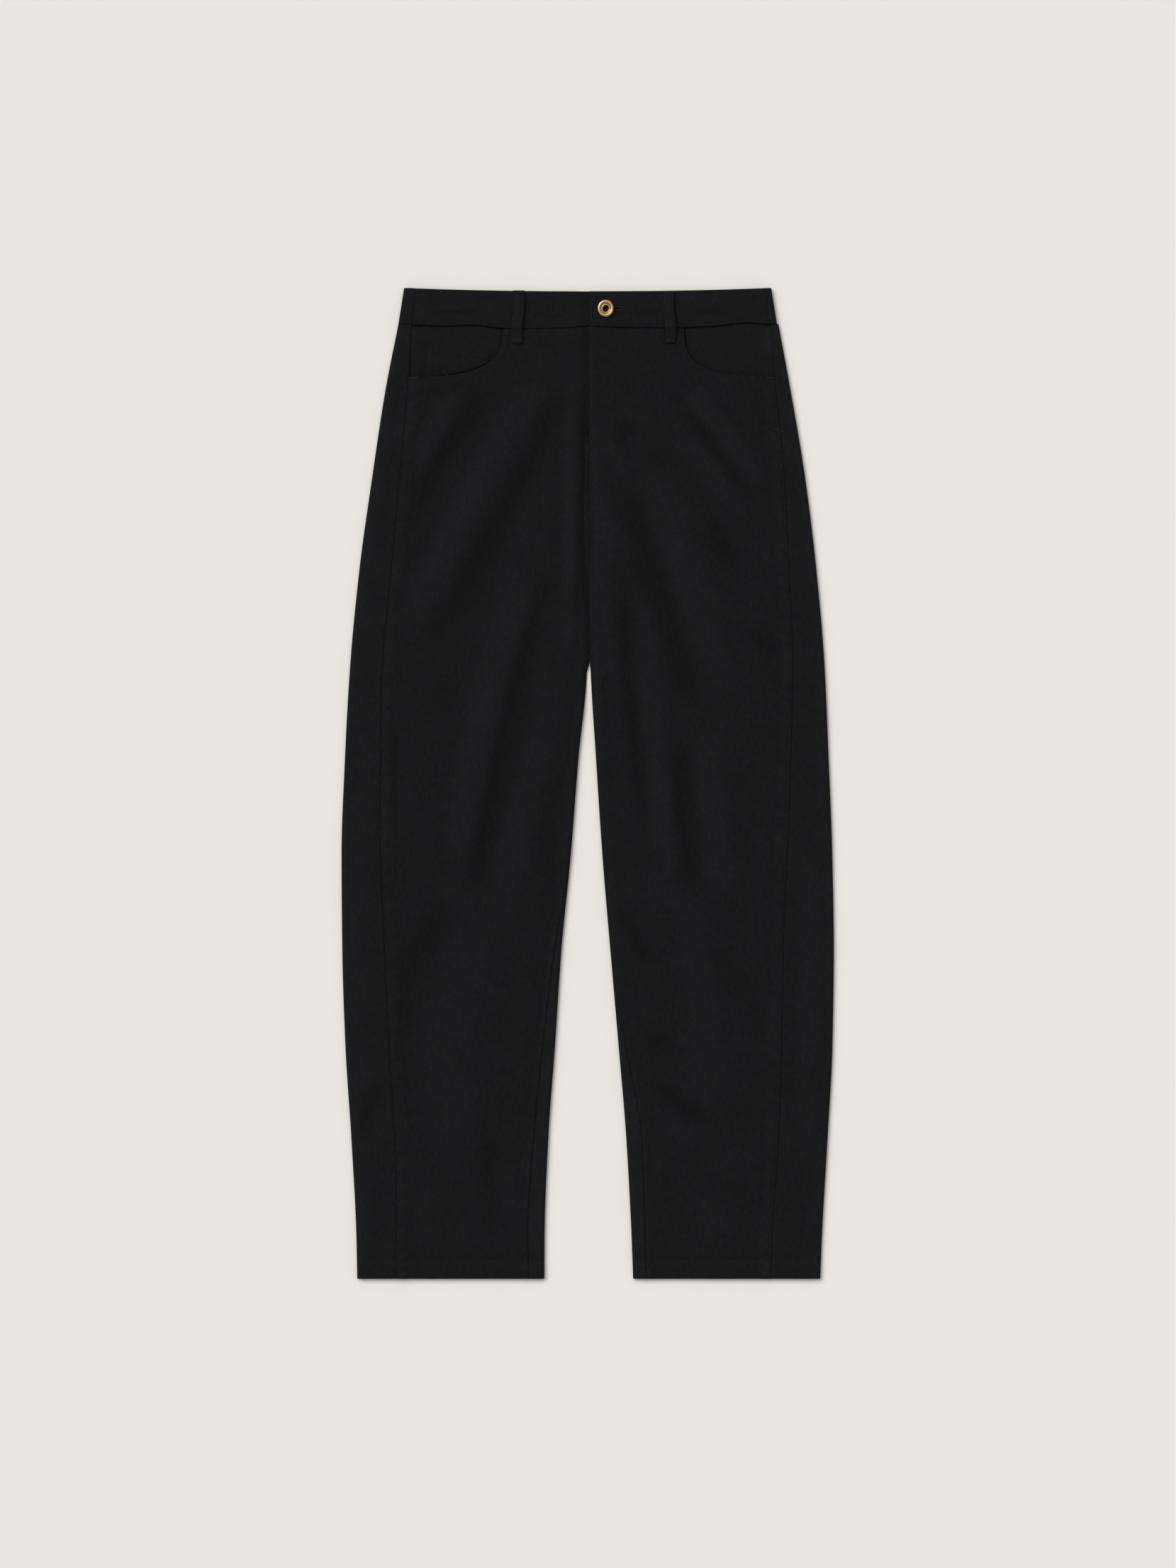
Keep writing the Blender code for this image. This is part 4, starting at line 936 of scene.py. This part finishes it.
class Shading:
    """A material being built, with short words for the nodes it needs."""

    def __init__(self, name, colour, roughness, metallic=0.0, specular=0.5):
        self.material = bpy.data.materials.new(name)
        self.material.use_nodes = True
        self.nodes = self.material.node_tree.nodes
        self.links = self.material.node_tree.links
        self.shader = self.nodes["Principled BSDF"]
        self.shader.inputs["Base Color"].default_value = (*colour, 1)
        self.shader.inputs["Roughness"].default_value = roughness
        self.shader.inputs["Metallic"].default_value = metallic
        self.shader.inputs["Specular IOR Level"].default_value = specular
        self.place = self.nodes.new("ShaderNodeTexCoord").outputs["Object"]

    def mapped(self, rotation=(0, 0, 0), scale=(1, 1, 1)):
        node = self.nodes.new("ShaderNodeMapping")
        node.inputs["Rotation"].default_value = rotation
        node.inputs["Scale"].default_value = scale
        self.links.new(self.place, node.inputs["Vector"])
        return node.outputs["Vector"]

    def noise(self, scale, detail=2.0, roughness=0.5, vector=None):
        node = self.nodes.new("ShaderNodeTexNoise")
        node.inputs["Scale"].default_value = scale
        node.inputs["Detail"].default_value = detail
        node.inputs["Roughness"].default_value = roughness
        self.links.new(vector or self.place, node.inputs["Vector"])
        return node.outputs["Fac"]

    def wave(self, period, distortion, vector):
        node = self.nodes.new("ShaderNodeTexWave")
        node.inputs["Scale"].default_value = 2 * math.pi / (20 * period)
        node.inputs["Distortion"].default_value = distortion
        node.inputs["Detail"].default_value = 1.0
        node.inputs["Detail Scale"].default_value = 0.6
        self.links.new(vector, node.inputs["Vector"])
        return node.outputs["Fac"]

    def attribute(self, name):
        node = self.nodes.new("ShaderNodeAttribute")
        node.attribute_name = name
        return node.outputs["Fac"]

    def math(self, operation, first, second):
        node = self.nodes.new("ShaderNodeMath")
        node.operation = operation
        for socket, value in zip(node.inputs, (first, second)):
            if isinstance(value, (int, float)):
                socket.default_value = value
            else:
                self.links.new(value, socket)
        return node.outputs["Value"]

    def weighted(self, *pairs):
        """The sum of some values, each times its weight."""
        total = 0.0
        for value, weight in pairs:
            total = self.math("ADD", total, self.math("MULTIPLY", value, weight))
        return total

    def ramp(self, value, stops):
        node = self.nodes.new("ShaderNodeValToRGB")
        elements = node.color_ramp.elements
        for index, (position, colour) in enumerate(stops):
            element = elements[index] if index < 2 else elements.new(position)
            element.position = position
            element.color = (*colour, 1)
        self.links.new(value, node.inputs["Fac"])
        self.links.new(node.outputs["Color"], self.shader.inputs["Base Color"])

    def roughness_from(self, value, low, high):
        node = self.nodes.new("ShaderNodeMapRange")
        node.inputs["To Min"].default_value = low
        node.inputs["To Max"].default_value = high
        self.links.new(value, node.inputs["Value"])
        self.links.new(node.outputs["Result"], self.shader.inputs["Roughness"])

    def bump(self, value, distance, strength=1.0):
        node = self.nodes.new("ShaderNodeBump")
        node.inputs["Distance"].default_value = distance
        node.inputs["Strength"].default_value = strength
        self.links.new(value, node.inputs["Height"])
        self.links.new(node.outputs["Normal"], self.shader.inputs["Normal"])


RELIEF_SCALE = 1.1
RELIEF_ROUNDS = 120
TWILL_DARK = (0.0007, 0.0007, 0.0010)
TWILL_MIDDLE = (0.0066, 0.0066, 0.0075)
TWILL_LIGHT = (0.0152, 0.0152, 0.0168)
TWILL_PERIOD = 0.00095
TWILL_SLANT = math.radians(62)


def twill():
    """Black cotton twill: a fine slanting rib, slubs down the warp, soft mottling, painted shade in the
    troughs and a painted highlight on the ridges.
    """
    cloth = Shading("black_twill", TWILL_MIDDLE, 0.8, specular=0.07)
    rib = cloth.wave(TWILL_PERIOD, 2.2, cloth.mapped(rotation=(0, 0, TWILL_SLANT)))
    slub = cloth.noise(900, 2.0, 0.6, cloth.mapped(scale=(1, 0.22, 1)))
    speck = cloth.noise(1500, 1.0, 0.5)
    mottle = cloth.noise(210, 3.0, 0.6, cloth.mapped(scale=(1, 0.5, 1)))
    cloud = cloth.noise(22, 3.0, 0.55)
    # The relief attribute paints shade into the folds' troughs and a highlight on their ridges.
    relief = cloth.attribute("relief")
    grain = ((rib, 0.1), (slub, 0.36), (speck, 0.3))
    tone = cloth.weighted(*grain, (mottle, 0.14), (cloud, 0.1), (relief, 0.08))
    cloth.ramp(tone, ((0.25, TWILL_DARK), (0.78, TWILL_LIGHT), (0.5, TWILL_MIDDLE)))
    cloth.roughness_from(slub, 0.66, 0.9)
    weave = cloth.weighted((rib, 0.5), (slub, 0.35), (speck, 0.4))
    cloth.bump(weave, 0.00035, 0.8)
    cloth.shader.inputs["Sheen Weight"].default_value = 0.03
    cloth.shader.inputs["Sheen Roughness"].default_value = 0.5
    cloth.shader.inputs["Sheen Tint"].default_value = (0.75, 0.77, 0.85, 1)
    return cloth.material


def thread():
    """Black sewing thread, a little smoother than the cloth, with its twist."""
    strand = Shading("black_thread", (0.010, 0.010, 0.0112), 0.55, specular=0.16)
    twist = strand.wave(0.0006, 0.6, strand.mapped(rotation=(0, 0, math.radians(30))))
    tone = strand.weighted((twist, 0.5), (strand.noise(500), 0.5))
    strand.ramp(tone, ((0.2, (0.005, 0.005, 0.0057)), (0.8, (0.017, 0.017, 0.019))))
    strand.bump(twist, 0.0001, 0.6)
    return strand.material


def brass():
    """Antique brass, with brown in its low places and a paler rubbed crest."""
    metal = Shading("antique_brass", (0.40, 0.28, 0.11), 0.36, metallic=1.0)
    stain = metal.noise(420, 4.0, 0.6)
    scratch = metal.noise(1600, 2.0, 0.5, metal.mapped(scale=(0.3, 1, 1)))
    crest = metal.attribute("relief")
    tone = metal.weighted((stain, 0.45), (scratch, 0.2), (crest, 0.45))
    metal.ramp(tone, ((0.15, (0.20, 0.125, 0.045)), (0.95, (0.62, 0.48, 0.24)), (0.5, (0.42, 0.29, 0.115))))
    metal.roughness_from(scratch, 0.28, 0.46)
    metal.bump(stain, 0.00012, 0.5)
    return metal.material


def dark_metal():
    """The button's post, almost black, with painted glints in lighter spots that noise scatters over it."""
    metal = Shading("dark_metal", (0.03, 0.025, 0.02), 0.42, metallic=1.0)
    stain = metal.noise(900, 3.0, 0.6)
    # The lightest colour of the ramp is a painted glint.
    dark, middle, glint = (0.004, 0.003, 0.0025), (0.012, 0.010, 0.008), (0.06, 0.048, 0.034)
    metal.ramp(stain, ((0.3, dark), (0.8, glint), (0.6, middle)))
    metal.bump(stain, 0.00015, 0.6)
    return metal.material


def add_mesh(name, points, faces, finish, sharp=42):
    """A mesh object from points in millimetres."""
    mesh = bpy.data.meshes.new(name)
    mesh.from_pydata((np.asarray(points, float) * MM).tolist(), [], faces)
    mesh.shade_smooth()
    mesh.set_sharp_from_angle(angle=math.radians(sharp))
    mesh.materials.append(finish)
    made = bpy.data.objects.new(name, mesh)
    bpy.context.scene.collection.objects.link(made)
    return made


def set_relief(made, values):
    attribute = made.data.attributes.new("relief", "FLOAT", "POINT")
    attribute.data.foreach_set("value", np.asarray(values, np.float32).ravel())


def grid_faces(rows, columns):
    """Faces of a closed wall: its outer grid, its inner grid and the rim between them."""
    index = np.arange(rows * columns).reshape(rows, columns)
    outer = np.stack([index[:-1, :-1], index[:-1, 1:], index[1:, 1:], index[1:, :-1]], axis=-1).reshape(-1, 4)
    inner = outer[:, ::-1] + rows * columns
    rim = np.concatenate([index[0], index[1:, -1], index[-1, -2::-1], index[-2:0:-1, 0]])
    after = np.roll(rim, -1)
    sides = np.stack([after, rim, rim + rows * columns, after + rows * columns], axis=-1)
    return np.concatenate([outer, inner, sides]).tolist()


def relief_of(outer):
    """How far each outer point stands above or below the cloth around it, as -1 to 1, for painted shade in
    troughs and a painted highlight on ridges.
    """
    height = outer[..., 2]
    level = height
    for _ in range(RELIEF_ROUNDS):
        wide = np.pad(level, 1, mode="edge")
        level = (wide[:-2, 1:-1] + wide[2:, 1:-1] + wide[1:-1, :-2] + wide[1:-1, 2:] + 4 * level) / 8
    return np.tanh((height - level) / RELIEF_SCALE)


def cloth_piece(node, outer, inner, finish):
    """One cut piece of cloth as a closed wall, in the place of its solid."""
    rows, columns = outer.shape[:2]
    points = np.concatenate([outer.reshape(-1, 3), inner.reshape(-1, 3)])
    made = add_mesh(f"{node}_cloth", points, grid_faces(rows, columns), finish)
    face_way = np.cross(outer[0, 1] - outer[0, 0], outer[1, 0] - outer[0, 0])
    if face_way @ (outer[0, 0] - inner[0, 0]) < 0:
        made.data.flip_normals()
    # The relief attribute carries the painted shade and highlight of the folds.
    relief = relief_of(outer)
    set_relief(made, np.concatenate([relief.ravel(), relief.ravel()]))
    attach(made, "root")
    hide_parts(node)
    return made


class Surface:
    """The upper face of a piece, found by looking straight down on it."""

    def __init__(self, made):
        self.tree = BVHTree.FromObject(made, bpy.context.evaluated_depsgraph_get())

    def point(self, x, drop):
        """The point of the cloth at a place in millimetres, or None beside the piece."""
        hit = self.tree.ray_cast(Vector((x * MM, (MIDDLE_DROP - drop) * MM, 0.1)), Vector((0, 0, -1)))
        return None if hit[0] is None else np.array(hit[0]) / MM


def stitch_mesh(name, spans, finish, radius=THREAD_RADIUS):
    """One mesh of short threads. Each span is its start, middle and end on the cloth."""
    spans = np.asarray(spans, float)
    count = len(spans)
    run = spans[:, 2] - spans[:, 0]
    run /= np.linalg.norm(run, axis=1, keepdims=True)
    side = np.cross(run, [0.0, 0.0, 1.0])
    side /= np.linalg.norm(side, axis=1, keepdims=True)
    up = np.cross(side, run)
    angles = np.linspace(0, 2 * math.pi, THREAD_SIDES, endpoint=False)
    lifts, radii = (-0.25, 0.5, -0.25), (0.55, 1.0, 0.55)
    rings = []
    for ring, (lift, share) in enumerate(zip(lifts, radii)):
        centre = spans[:, ring] + up * lift * radius
        turned = np.cos(angles)[None, :, None] * side[:, None] + np.sin(angles)[None, :, None] * up[:, None]
        rings.append(centre[:, None] + turned * radius * share)
    points = np.stack(rings, axis=1).reshape(-1, 3)
    faces = []
    for stitch in range(count):
        first = stitch * 3 * THREAD_SIDES
        for ring in range(2):
            low = first + ring * THREAD_SIDES
            high = low + THREAD_SIDES
            for step in range(THREAD_SIDES):
                beside = (step + 1) % THREAD_SIDES
                faces.append([low + step, high + step, high + beside, low + beside])
        faces.append([first + step for step in range(THREAD_SIDES)])
        faces.append([first + 2 * THREAD_SIDES + step for step in reversed(range(THREAD_SIDES))])
    made = add_mesh(name, points, faces, finish, sharp=80)
    made.data.flip_normals()
    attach(made, "root")
    return made


def row_spans(surface, path):
    """Stitches along a path, each laid on the cloth."""
    path = np.asarray(path, float)
    lengths = np.concatenate([[0], np.cumsum(np.linalg.norm(np.diff(path, axis=0), axis=1))])
    spans = []
    for start in np.arange(0.6, lengths[-1] - STITCH, STITCH + STITCH_GAP):
        places = [start, start + STITCH / 2, start + STITCH]
        x, drops = (np.interp(places, lengths, path[:, axis]) for axis in (0, 1))
        points = [surface.point(*place) for place in zip(x, drops)]
        if all(point is not None for point in points):
            spans.append(points)
    return spans


def tack_spans(surface, start, end, width):
    """A bar tack: close short threads straight across the line from start to end."""
    start, end = np.array(start, float), np.array(end, float)
    run = end - start
    length = np.linalg.norm(run)
    across = np.array([-run[1], run[0]]) / length * width / 2
    spans = []
    for number, place in enumerate(np.arange(0, length, TACK_STEP)):
        middle = start + run * place / length
        slant = run / length * (0.2 if number % 2 else -0.2)
        points = [surface.point(*(middle + shift)) for shift in (-across - slant, 0 * across, across + slant)]
        if all(point is not None for point in points):
            spans.append(points + np.array([0, 0, 0.12]))
    return spans


def front_sewing(leg):
    """Paths of the stitch rows on a front panel."""
    drops = np.linspace(POCKET_BOTTOM + 4, LENGTH - 1, 240)
    side = leg.outseam_x(drops)
    rows = [np.stack([leg.side * (side - inside), drops], axis=1) for inside in OUTSEAM_ROWS]
    rows += [pocket_path(leg, 120, inside)[3:-2] for inside in POCKET_STITCH_ROWS]
    rows.append(hem_path(leg, leg.inner(LENGTH) + leg.inseam(LENGTH) + 1, leg.outseam_x(LENGTH) - 1))
    if leg.side > 0:
        rows += [fly_row_path(x) for x in FLY_ROW_X]
        rows += [[(x, CROTCH_ROWS_TOP), (x, CROTCH_ROWS_BOTTOM)] for x in CROTCH_ROWS]
        rows.append([(FLY_EDGE + 2.3, 44), (FLY_EDGE + 2.3, FLY_END - 3)])
    return rows


def hem_path(leg, near, far):
    """The hem's stitch row between two distances from the middle line."""
    drop = LENGTH - HEM_DEPTH
    return [(leg.side * near, drop), (leg.side * far, drop)]


def front_tacks(leg):
    """Bar tacks of a front panel, as start, end and width."""
    side_x = leg.side * (leg.outseam_x(POCKET_BOTTOM) - 1)
    tacks = [((side_x, POCKET_BOTTOM + 1.2), (side_x - leg.side * 9, POCKET_BOTTOM + 1.0), 1.8)]
    low_x = leg.side * (leg.outseam_x(150) - 1)
    tacks.append(((low_x, 150), (low_x - leg.side * 7, 150), 1.6))
    if leg.side > 0:
        tacks.append(((2.4, FLY_END - 0.6), (9.0, FLY_END - 0.6), 1.9))
        tacks.append(((3.0, FLY_END + 5), (8.4, FLY_END + 9), 1.6))
    return tacks


def turned_mesh(name, profile, centre, finish, hollow, steps, stretch):
    """A solid of revolution from (radius, height) points. stretch lengthens it along the garment."""
    angles = np.linspace(0, 2 * math.pi, steps, endpoint=False)
    profile = np.asarray(profile, float)
    radii, heights = profile[:, :1], profile[:, 1:]
    points = np.stack(
        [
            centre[0] + radii * np.cos(angles),
            centre[1] + stretch * radii * np.sin(angles),
            heights * np.ones_like(angles),
        ],
        axis=-1,
    ).reshape(-1, 3)
    faces = []
    last = len(profile) if hollow else len(profile) - 1
    for ring in range(last):
        low, high = ring * steps, (ring + 1) % len(profile) * steps
        for step in range(steps):
            beside = (step + 1) % steps
            faces.append([low + step, low + beside, high + beside, high + step])
    if not hollow:
        faces.append(list(range(steps))[::-1])
        faces.append([(len(profile) - 1) * steps + step for step in range(steps)])
    return add_mesh(name, points, faces, finish, sharp=60)


def button():
    """The open ring, with a rounded crest and a step inside, and the post in its middle."""
    centre = (BUTTON_X, MIDDLE_DROP - BUTTON_DROP)
    base = BAND_TOP + BAND_LAP_RISE + SEAM_GAP
    crest_radius = 0.5 * (BUTTON_RADIUS + BUTTON_HOLE_RADIUS) + 0.9
    half_width = BUTTON_RADIUS - crest_radius
    ring = [(BUTTON_RADIUS - 0.8, base), (BUTTON_RADIUS - 0.1, base + 0.5)]
    for step in range(9):
        angle = math.radians(10 + 20 * step)
        ring.append((crest_radius + half_width * math.cos(angle), base + 1.4 + 1.7 * math.sin(angle)))
    hole = BUTTON_HOLE_RADIUS
    ring += [
        (crest_radius - half_width - 0.2, base + 1.35),
        (hole + 0.9, base + 1.2),
        (hole + 0.55, base + 1.55),
        (hole + 0.2, base + 1.5),
        (hole, base + 1.1),
        (hole, base + 0.4),
        (hole + 0.5, base),
    ]
    made = turned_mesh(
        "button_ring_metal", ring, centre, brass(), hollow=True, steps=RING_SIDES, stretch=1.06
    )
    heights = np.repeat([height for _, height in ring], RING_SIDES)
    set_relief(made, np.clip((heights - base) / BUTTON_HEIGHT, 0, 1))
    finish_metal(made, "button_ring")
    foot = BAND_TOP - LAP_STEP + SEAM_GAP
    head = POST_HEAD_RADIUS
    post = [
        (POST_RADIUS, foot),
        (POST_RADIUS, base + 0.1),
        (head, base + 0.4),
        (head, base + 0.9),
        (head - 0.35, base + 1.25),
        (head - 0.9, base + 1.3),
        (head - 1.3, base + 0.8),
        (0.5, base + 0.7),
    ]
    made = turned_mesh(
        "button_post_metal", post, centre, dark_metal(), hollow=False, steps=POST_SIDES, stretch=1.1
    )
    finish_metal(made, "button_post")


def finish_metal(made, node):
    """Hangs a piece of the button on the body, in the place of its solid, which it hides."""
    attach(made, "root")
    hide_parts(node)


def slit_outline(margin):
    """Points round the buttonhole's slit, this far outside it, from its free end round both sides."""
    start, end = BUTTON_X, BUTTONHOLE_END - SLIT_HALF_WIDTH
    half = SLIT_HALF_WIDTH + margin
    turn = np.radians(np.linspace(-90, 90, 13))
    low = np.stack([np.linspace(start, end, 30), np.full(30, -half)], axis=1)
    cap = np.stack([end + half * np.cos(turn), half * np.sin(turn)], axis=1)
    high = np.stack([np.linspace(end, start, 30), np.full(30, half)], axis=1)
    return np.concatenate([low, cap, high]) + np.array([0, BUTTON_DROP])


def cut_buttonhole(band):
    """Cuts the slit, with a round eye for the post, through the overlap's band."""
    turn = np.radians(np.linspace(20, 340, 24))
    eye = np.stack([BUTTON_X + EYE_RADIUS * np.cos(turn), BUTTON_DROP + EYE_RADIUS * np.sin(turn)], axis=1)
    slit = slit_outline(0.0)
    slit = slit[slit[:, 0] > BUTTON_X + EYE_RADIUS]
    outline = np.concatenate([eye, slit])
    count = len(outline)
    x, y = outline[:, 0], MIDDLE_DROP - outline[:, 1]
    layers = [np.column_stack([x, y, np.full(count, height)]) for height in (1.0, 12.0)]
    faces = [list(range(count)), list(range(2 * count - 1, count - 1, -1))]
    for step in range(count):
        beside = (step + 1) % count
        faces.append([beside, step, count + step, count + beside])
    cutter = add_mesh("buttonhole_cutter", np.concatenate(layers), faces, band.data.materials[0])
    cutter.hide_render = True
    change = band.modifiers.new("buttonhole", "BOOLEAN")
    change.operation = "DIFFERENCE"
    change.object = cutter
    graph = bpy.context.evaluated_depsgraph_get()
    cut = bpy.data.meshes.new_from_object(band.evaluated_get(graph))
    band.modifiers.clear()
    band.data = cut
    bpy.data.objects.remove(cutter)


def buttonhole_spans(surface):
    """Close threads across the edge of the slit, all round its free end."""
    inner, outer = even_path(slit_outline(-0.25), 74), even_path(slit_outline(1.75), 74)
    spans = []
    for one, two in zip(inner, outer):
        middle, end = surface.point(*(0.45 * one + 0.55 * two)), surface.point(*two)
        if one[0] > BUTTON_X + 3 and middle is not None and end is not None:
            start = np.array([one[0], MIDDLE_DROP - one[1], middle[2] - 0.15])
            spans.append([start, middle + np.array([0, 0, 0.25]), end])
    return spans


def loop_sewing(top_x, bottom_x, top_drop, bottom_drop, lean, bulge):
    """Paths and tacks of a belt loop. Its bulge leaves them where they are."""
    down = np.linspace(0.04, 0.96, 40)
    x = top_x + down * (bottom_x - top_x) + lean * np.sin(down * 2 * math.pi)
    drop = top_drop + down * (bottom_drop - top_drop)
    paths = [np.stack([x + shift, drop], axis=1) for shift in (-LOOP_ROW, LOOP_ROW)]
    tacks = []
    for tack_x, tack_drop, width in ((bottom_x, bottom_drop - 2.7, 1.9), (top_x, top_drop + 2.2, 1.7)):
        ends = [(tack_x + reach, tack_drop) for reach in (-LOOP_TACK_REACH, LOOP_TACK_REACH)]
        tacks.append((*ends, width))
    return paths, tacks


def sew(made, paths, tacks, finish, extra=()):
    """All the threads of one piece, as one mesh."""
    surface = Surface(made)
    spans = [span for path in paths for span in row_spans(surface, path)]
    spans += [span for tack in tacks for span in tack_spans(surface, *tack)]
    spans += [span for maker in extra for span in maker(surface)]
    return stitch_mesh(made.name.replace("_cloth", "_stitching"), spans, finish)


def dress():
    """Every piece of cloth with its sewing."""
    cloth, black_thread = twill(), thread()
    legs = [Leg("right", -1, RIGHT_LEG, POCKETS[0]), Leg("left", 1, LEFT_LEG, POCKETS[1])]

    def add(node, grids, rests_on, paths=(), tacks=(), extra=(), change=None):
        made = cloth_piece(node, *grids, cloth)
        if change:
            change(made)
        sewing = [sew(made, paths, tacks, black_thread, extra)] if paths or tacks or extra else []

    add("waistband_back", waistband_back(), ["floor"], band_end_rows())
    for leg in legs:
        back = f"back_leg_{leg.name}"
        add(back, back_leg(leg), ["floor"], back_sewing(leg))
        add(f"pocket_facing_{leg.name}", pocket_facing(leg), [f"{back}_cloth"])
        if leg.side < 0:
            add("coin_pocket", coin_pocket(leg), ["pocket_facing_right_cloth"], *coin_sewing(leg))
        add(f"front_leg_{leg.name}", front_leg(leg), [f"{back}_cloth"], front_sewing(leg), front_tacks(leg))
        band = f"waistband_front_{leg.name}"
        on_left = leg.side > 0
        add(
            band,
            waistband_front(leg),
            ["waistband_back_cloth"],
            band_rows(leg),
            extra=[buttonhole_spans] if on_left else (),
            change=cut_buttonhole if on_left else None,
        )
    for row in LOOPS:
        places = dict(zip(LOOP_COLUMNS, row))
        name = places.pop("name")
        band = name.replace("belt_loop", "waistband_front") + "_cloth"
        add(name, belt_loop(**places), [band], *loop_sewing(**places))


def back_sewing(leg):
    """The hem's row where the back's cloth wraps forward."""
    outer = hem_path(leg, leg.outseam_x(LENGTH) + 1.5, leg.outer(LENGTH) - 2)
    inner = hem_path(leg, leg.inner(LENGTH) + 2, leg.inner(LENGTH) + leg.inseam(LENGTH) - 1.5)
    return [outer, inner]


def coin_sewing(leg):
    """Two rows below the coin pocket's top edge and one inside its free side."""
    left, right = np.array(COIN_LEFT_TOP), np.array(COIN_RIGHT_TOP)
    flip = np.array([leg.side, 1.0])
    rows = [[(left + [-1.5, inside]) * flip, (right + [2.0, inside]) * flip] for inside in COIN_TOP_ROWS]
    side = left + [-COIN_SIDE_ROW, 1.5]
    rows.append([side * flip, (side + [COIN_LEAN * 0.9, 24.0]) * flip])
    return rows, [((left + [-1.2, 2.0]) * flip, (left + [-1.0, 7.0]) * flip, 1.6)]


def band_rows(leg):
    """The row above the waistband's seam, and on the overlap one down its edge."""
    seam = BAND_SEAMS[leg.name][1]
    last = -1.5 if leg.side < 0 else FLY_EDGE + 2.3
    x = np.linspace(leg.side * (seam - 1), last, 120)
    rows = [np.stack([x, waist_seam(x) - WAIST_ROW], axis=1)]
    if leg.side > 0:
        rows.append([(last, 5.5), (last, 37.5)])
    return rows


def band_end_rows():
    """The same row on the two ends that wrap forward."""
    drop = BACK_SEAM - WAIST_ROW
    return [[(-197.0, drop), (-186.8, drop)], [(194.4, drop), (198.0, drop)]]


FLOOR_COLOUR = (0.823, 0.799, 0.745)
FLOOR_SIZE = 30.0
FLOOR_DROP = 0.0004
AMBIENT = 0.43
SUN_COLUMNS = ("name", "azimuth", "elevation", "spread", "share")
SUNS = (
    ("key_window", -52.0, 44.0, 42.0, 0.48),
    ("top_window", 12.0, 50.0, 60.0, 0.09),
)
PIXEL = 0.75               # millimetres of the garment for one pixel of the photograph
FRAME_PIXELS = (1659, 2212)
MIDDLE_PIXEL = 829.0
TOP_PIXEL = 406.0
LENS = 100.0
SENSOR = 36.0


def studio():
    """A pale floor, even soft light and a camera that looks straight down, framed as the photograph."""
    half = FLOOR_SIZE / 2
    corners = [(-half, -half, 0), (half, -half, 0), (half, half, 0), (-half, half, 0)]
    paper = Shading("pale_floor", FLOOR_COLOUR, 0.95, specular=0.0)
    floor = add_mesh("floor", np.array(corners) / MM, [[0, 1, 2, 3]], paper.material)
    floor.location.z = -FLOOR_DROP

    scene = bpy.context.scene
    scene.view_settings.view_transform = "Standard"
    scene.world = bpy.data.worlds.new("studio")
    scene.world.use_nodes = True
    background = scene.world.node_tree.nodes["Background"]
    background.inputs["Color"].default_value = (1, 1, 1, 1)
    background.inputs["Strength"].default_value = AMBIENT
    for row in SUNS:
        sun = dict(zip(SUN_COLUMNS, row))
        lamp = bpy.data.lights.new(sun["name"], "SUN")
        azimuth, elevation = math.radians(sun["azimuth"]), math.radians(sun["elevation"])
        lamp.energy = math.pi * sun["share"] / math.sin(elevation)
        lamp.angle = math.radians(sun["spread"])
        made = bpy.data.objects.new(sun["name"], lamp)
        level = math.cos(elevation)
        towards = Vector((math.sin(azimuth) * level, math.cos(azimuth) * level, math.sin(elevation)))
        made.rotation_euler = towards.to_track_quat("Z", "Y").to_euler()
        scene.collection.objects.link(made)

    camera = bpy.data.cameras.new("camera")
    camera.lens, camera.sensor_width = LENS, SENSOR
    made = bpy.data.objects.new("camera", camera)
    width, height = (pixels * PIXEL * MM for pixels in FRAME_PIXELS)
    made.location = (
        (FRAME_PIXELS[0] / 2 - MIDDLE_PIXEL) * PIXEL * MM,
        (MIDDLE_DROP - (FRAME_PIXELS[1] / 2 - TOP_PIXEL) * PIXEL) * MM,
        height / 2 / (SENSOR / 2 / LENS),
    )
    scene.collection.objects.link(made)
    scene.camera = made


studio()
dress()
button()
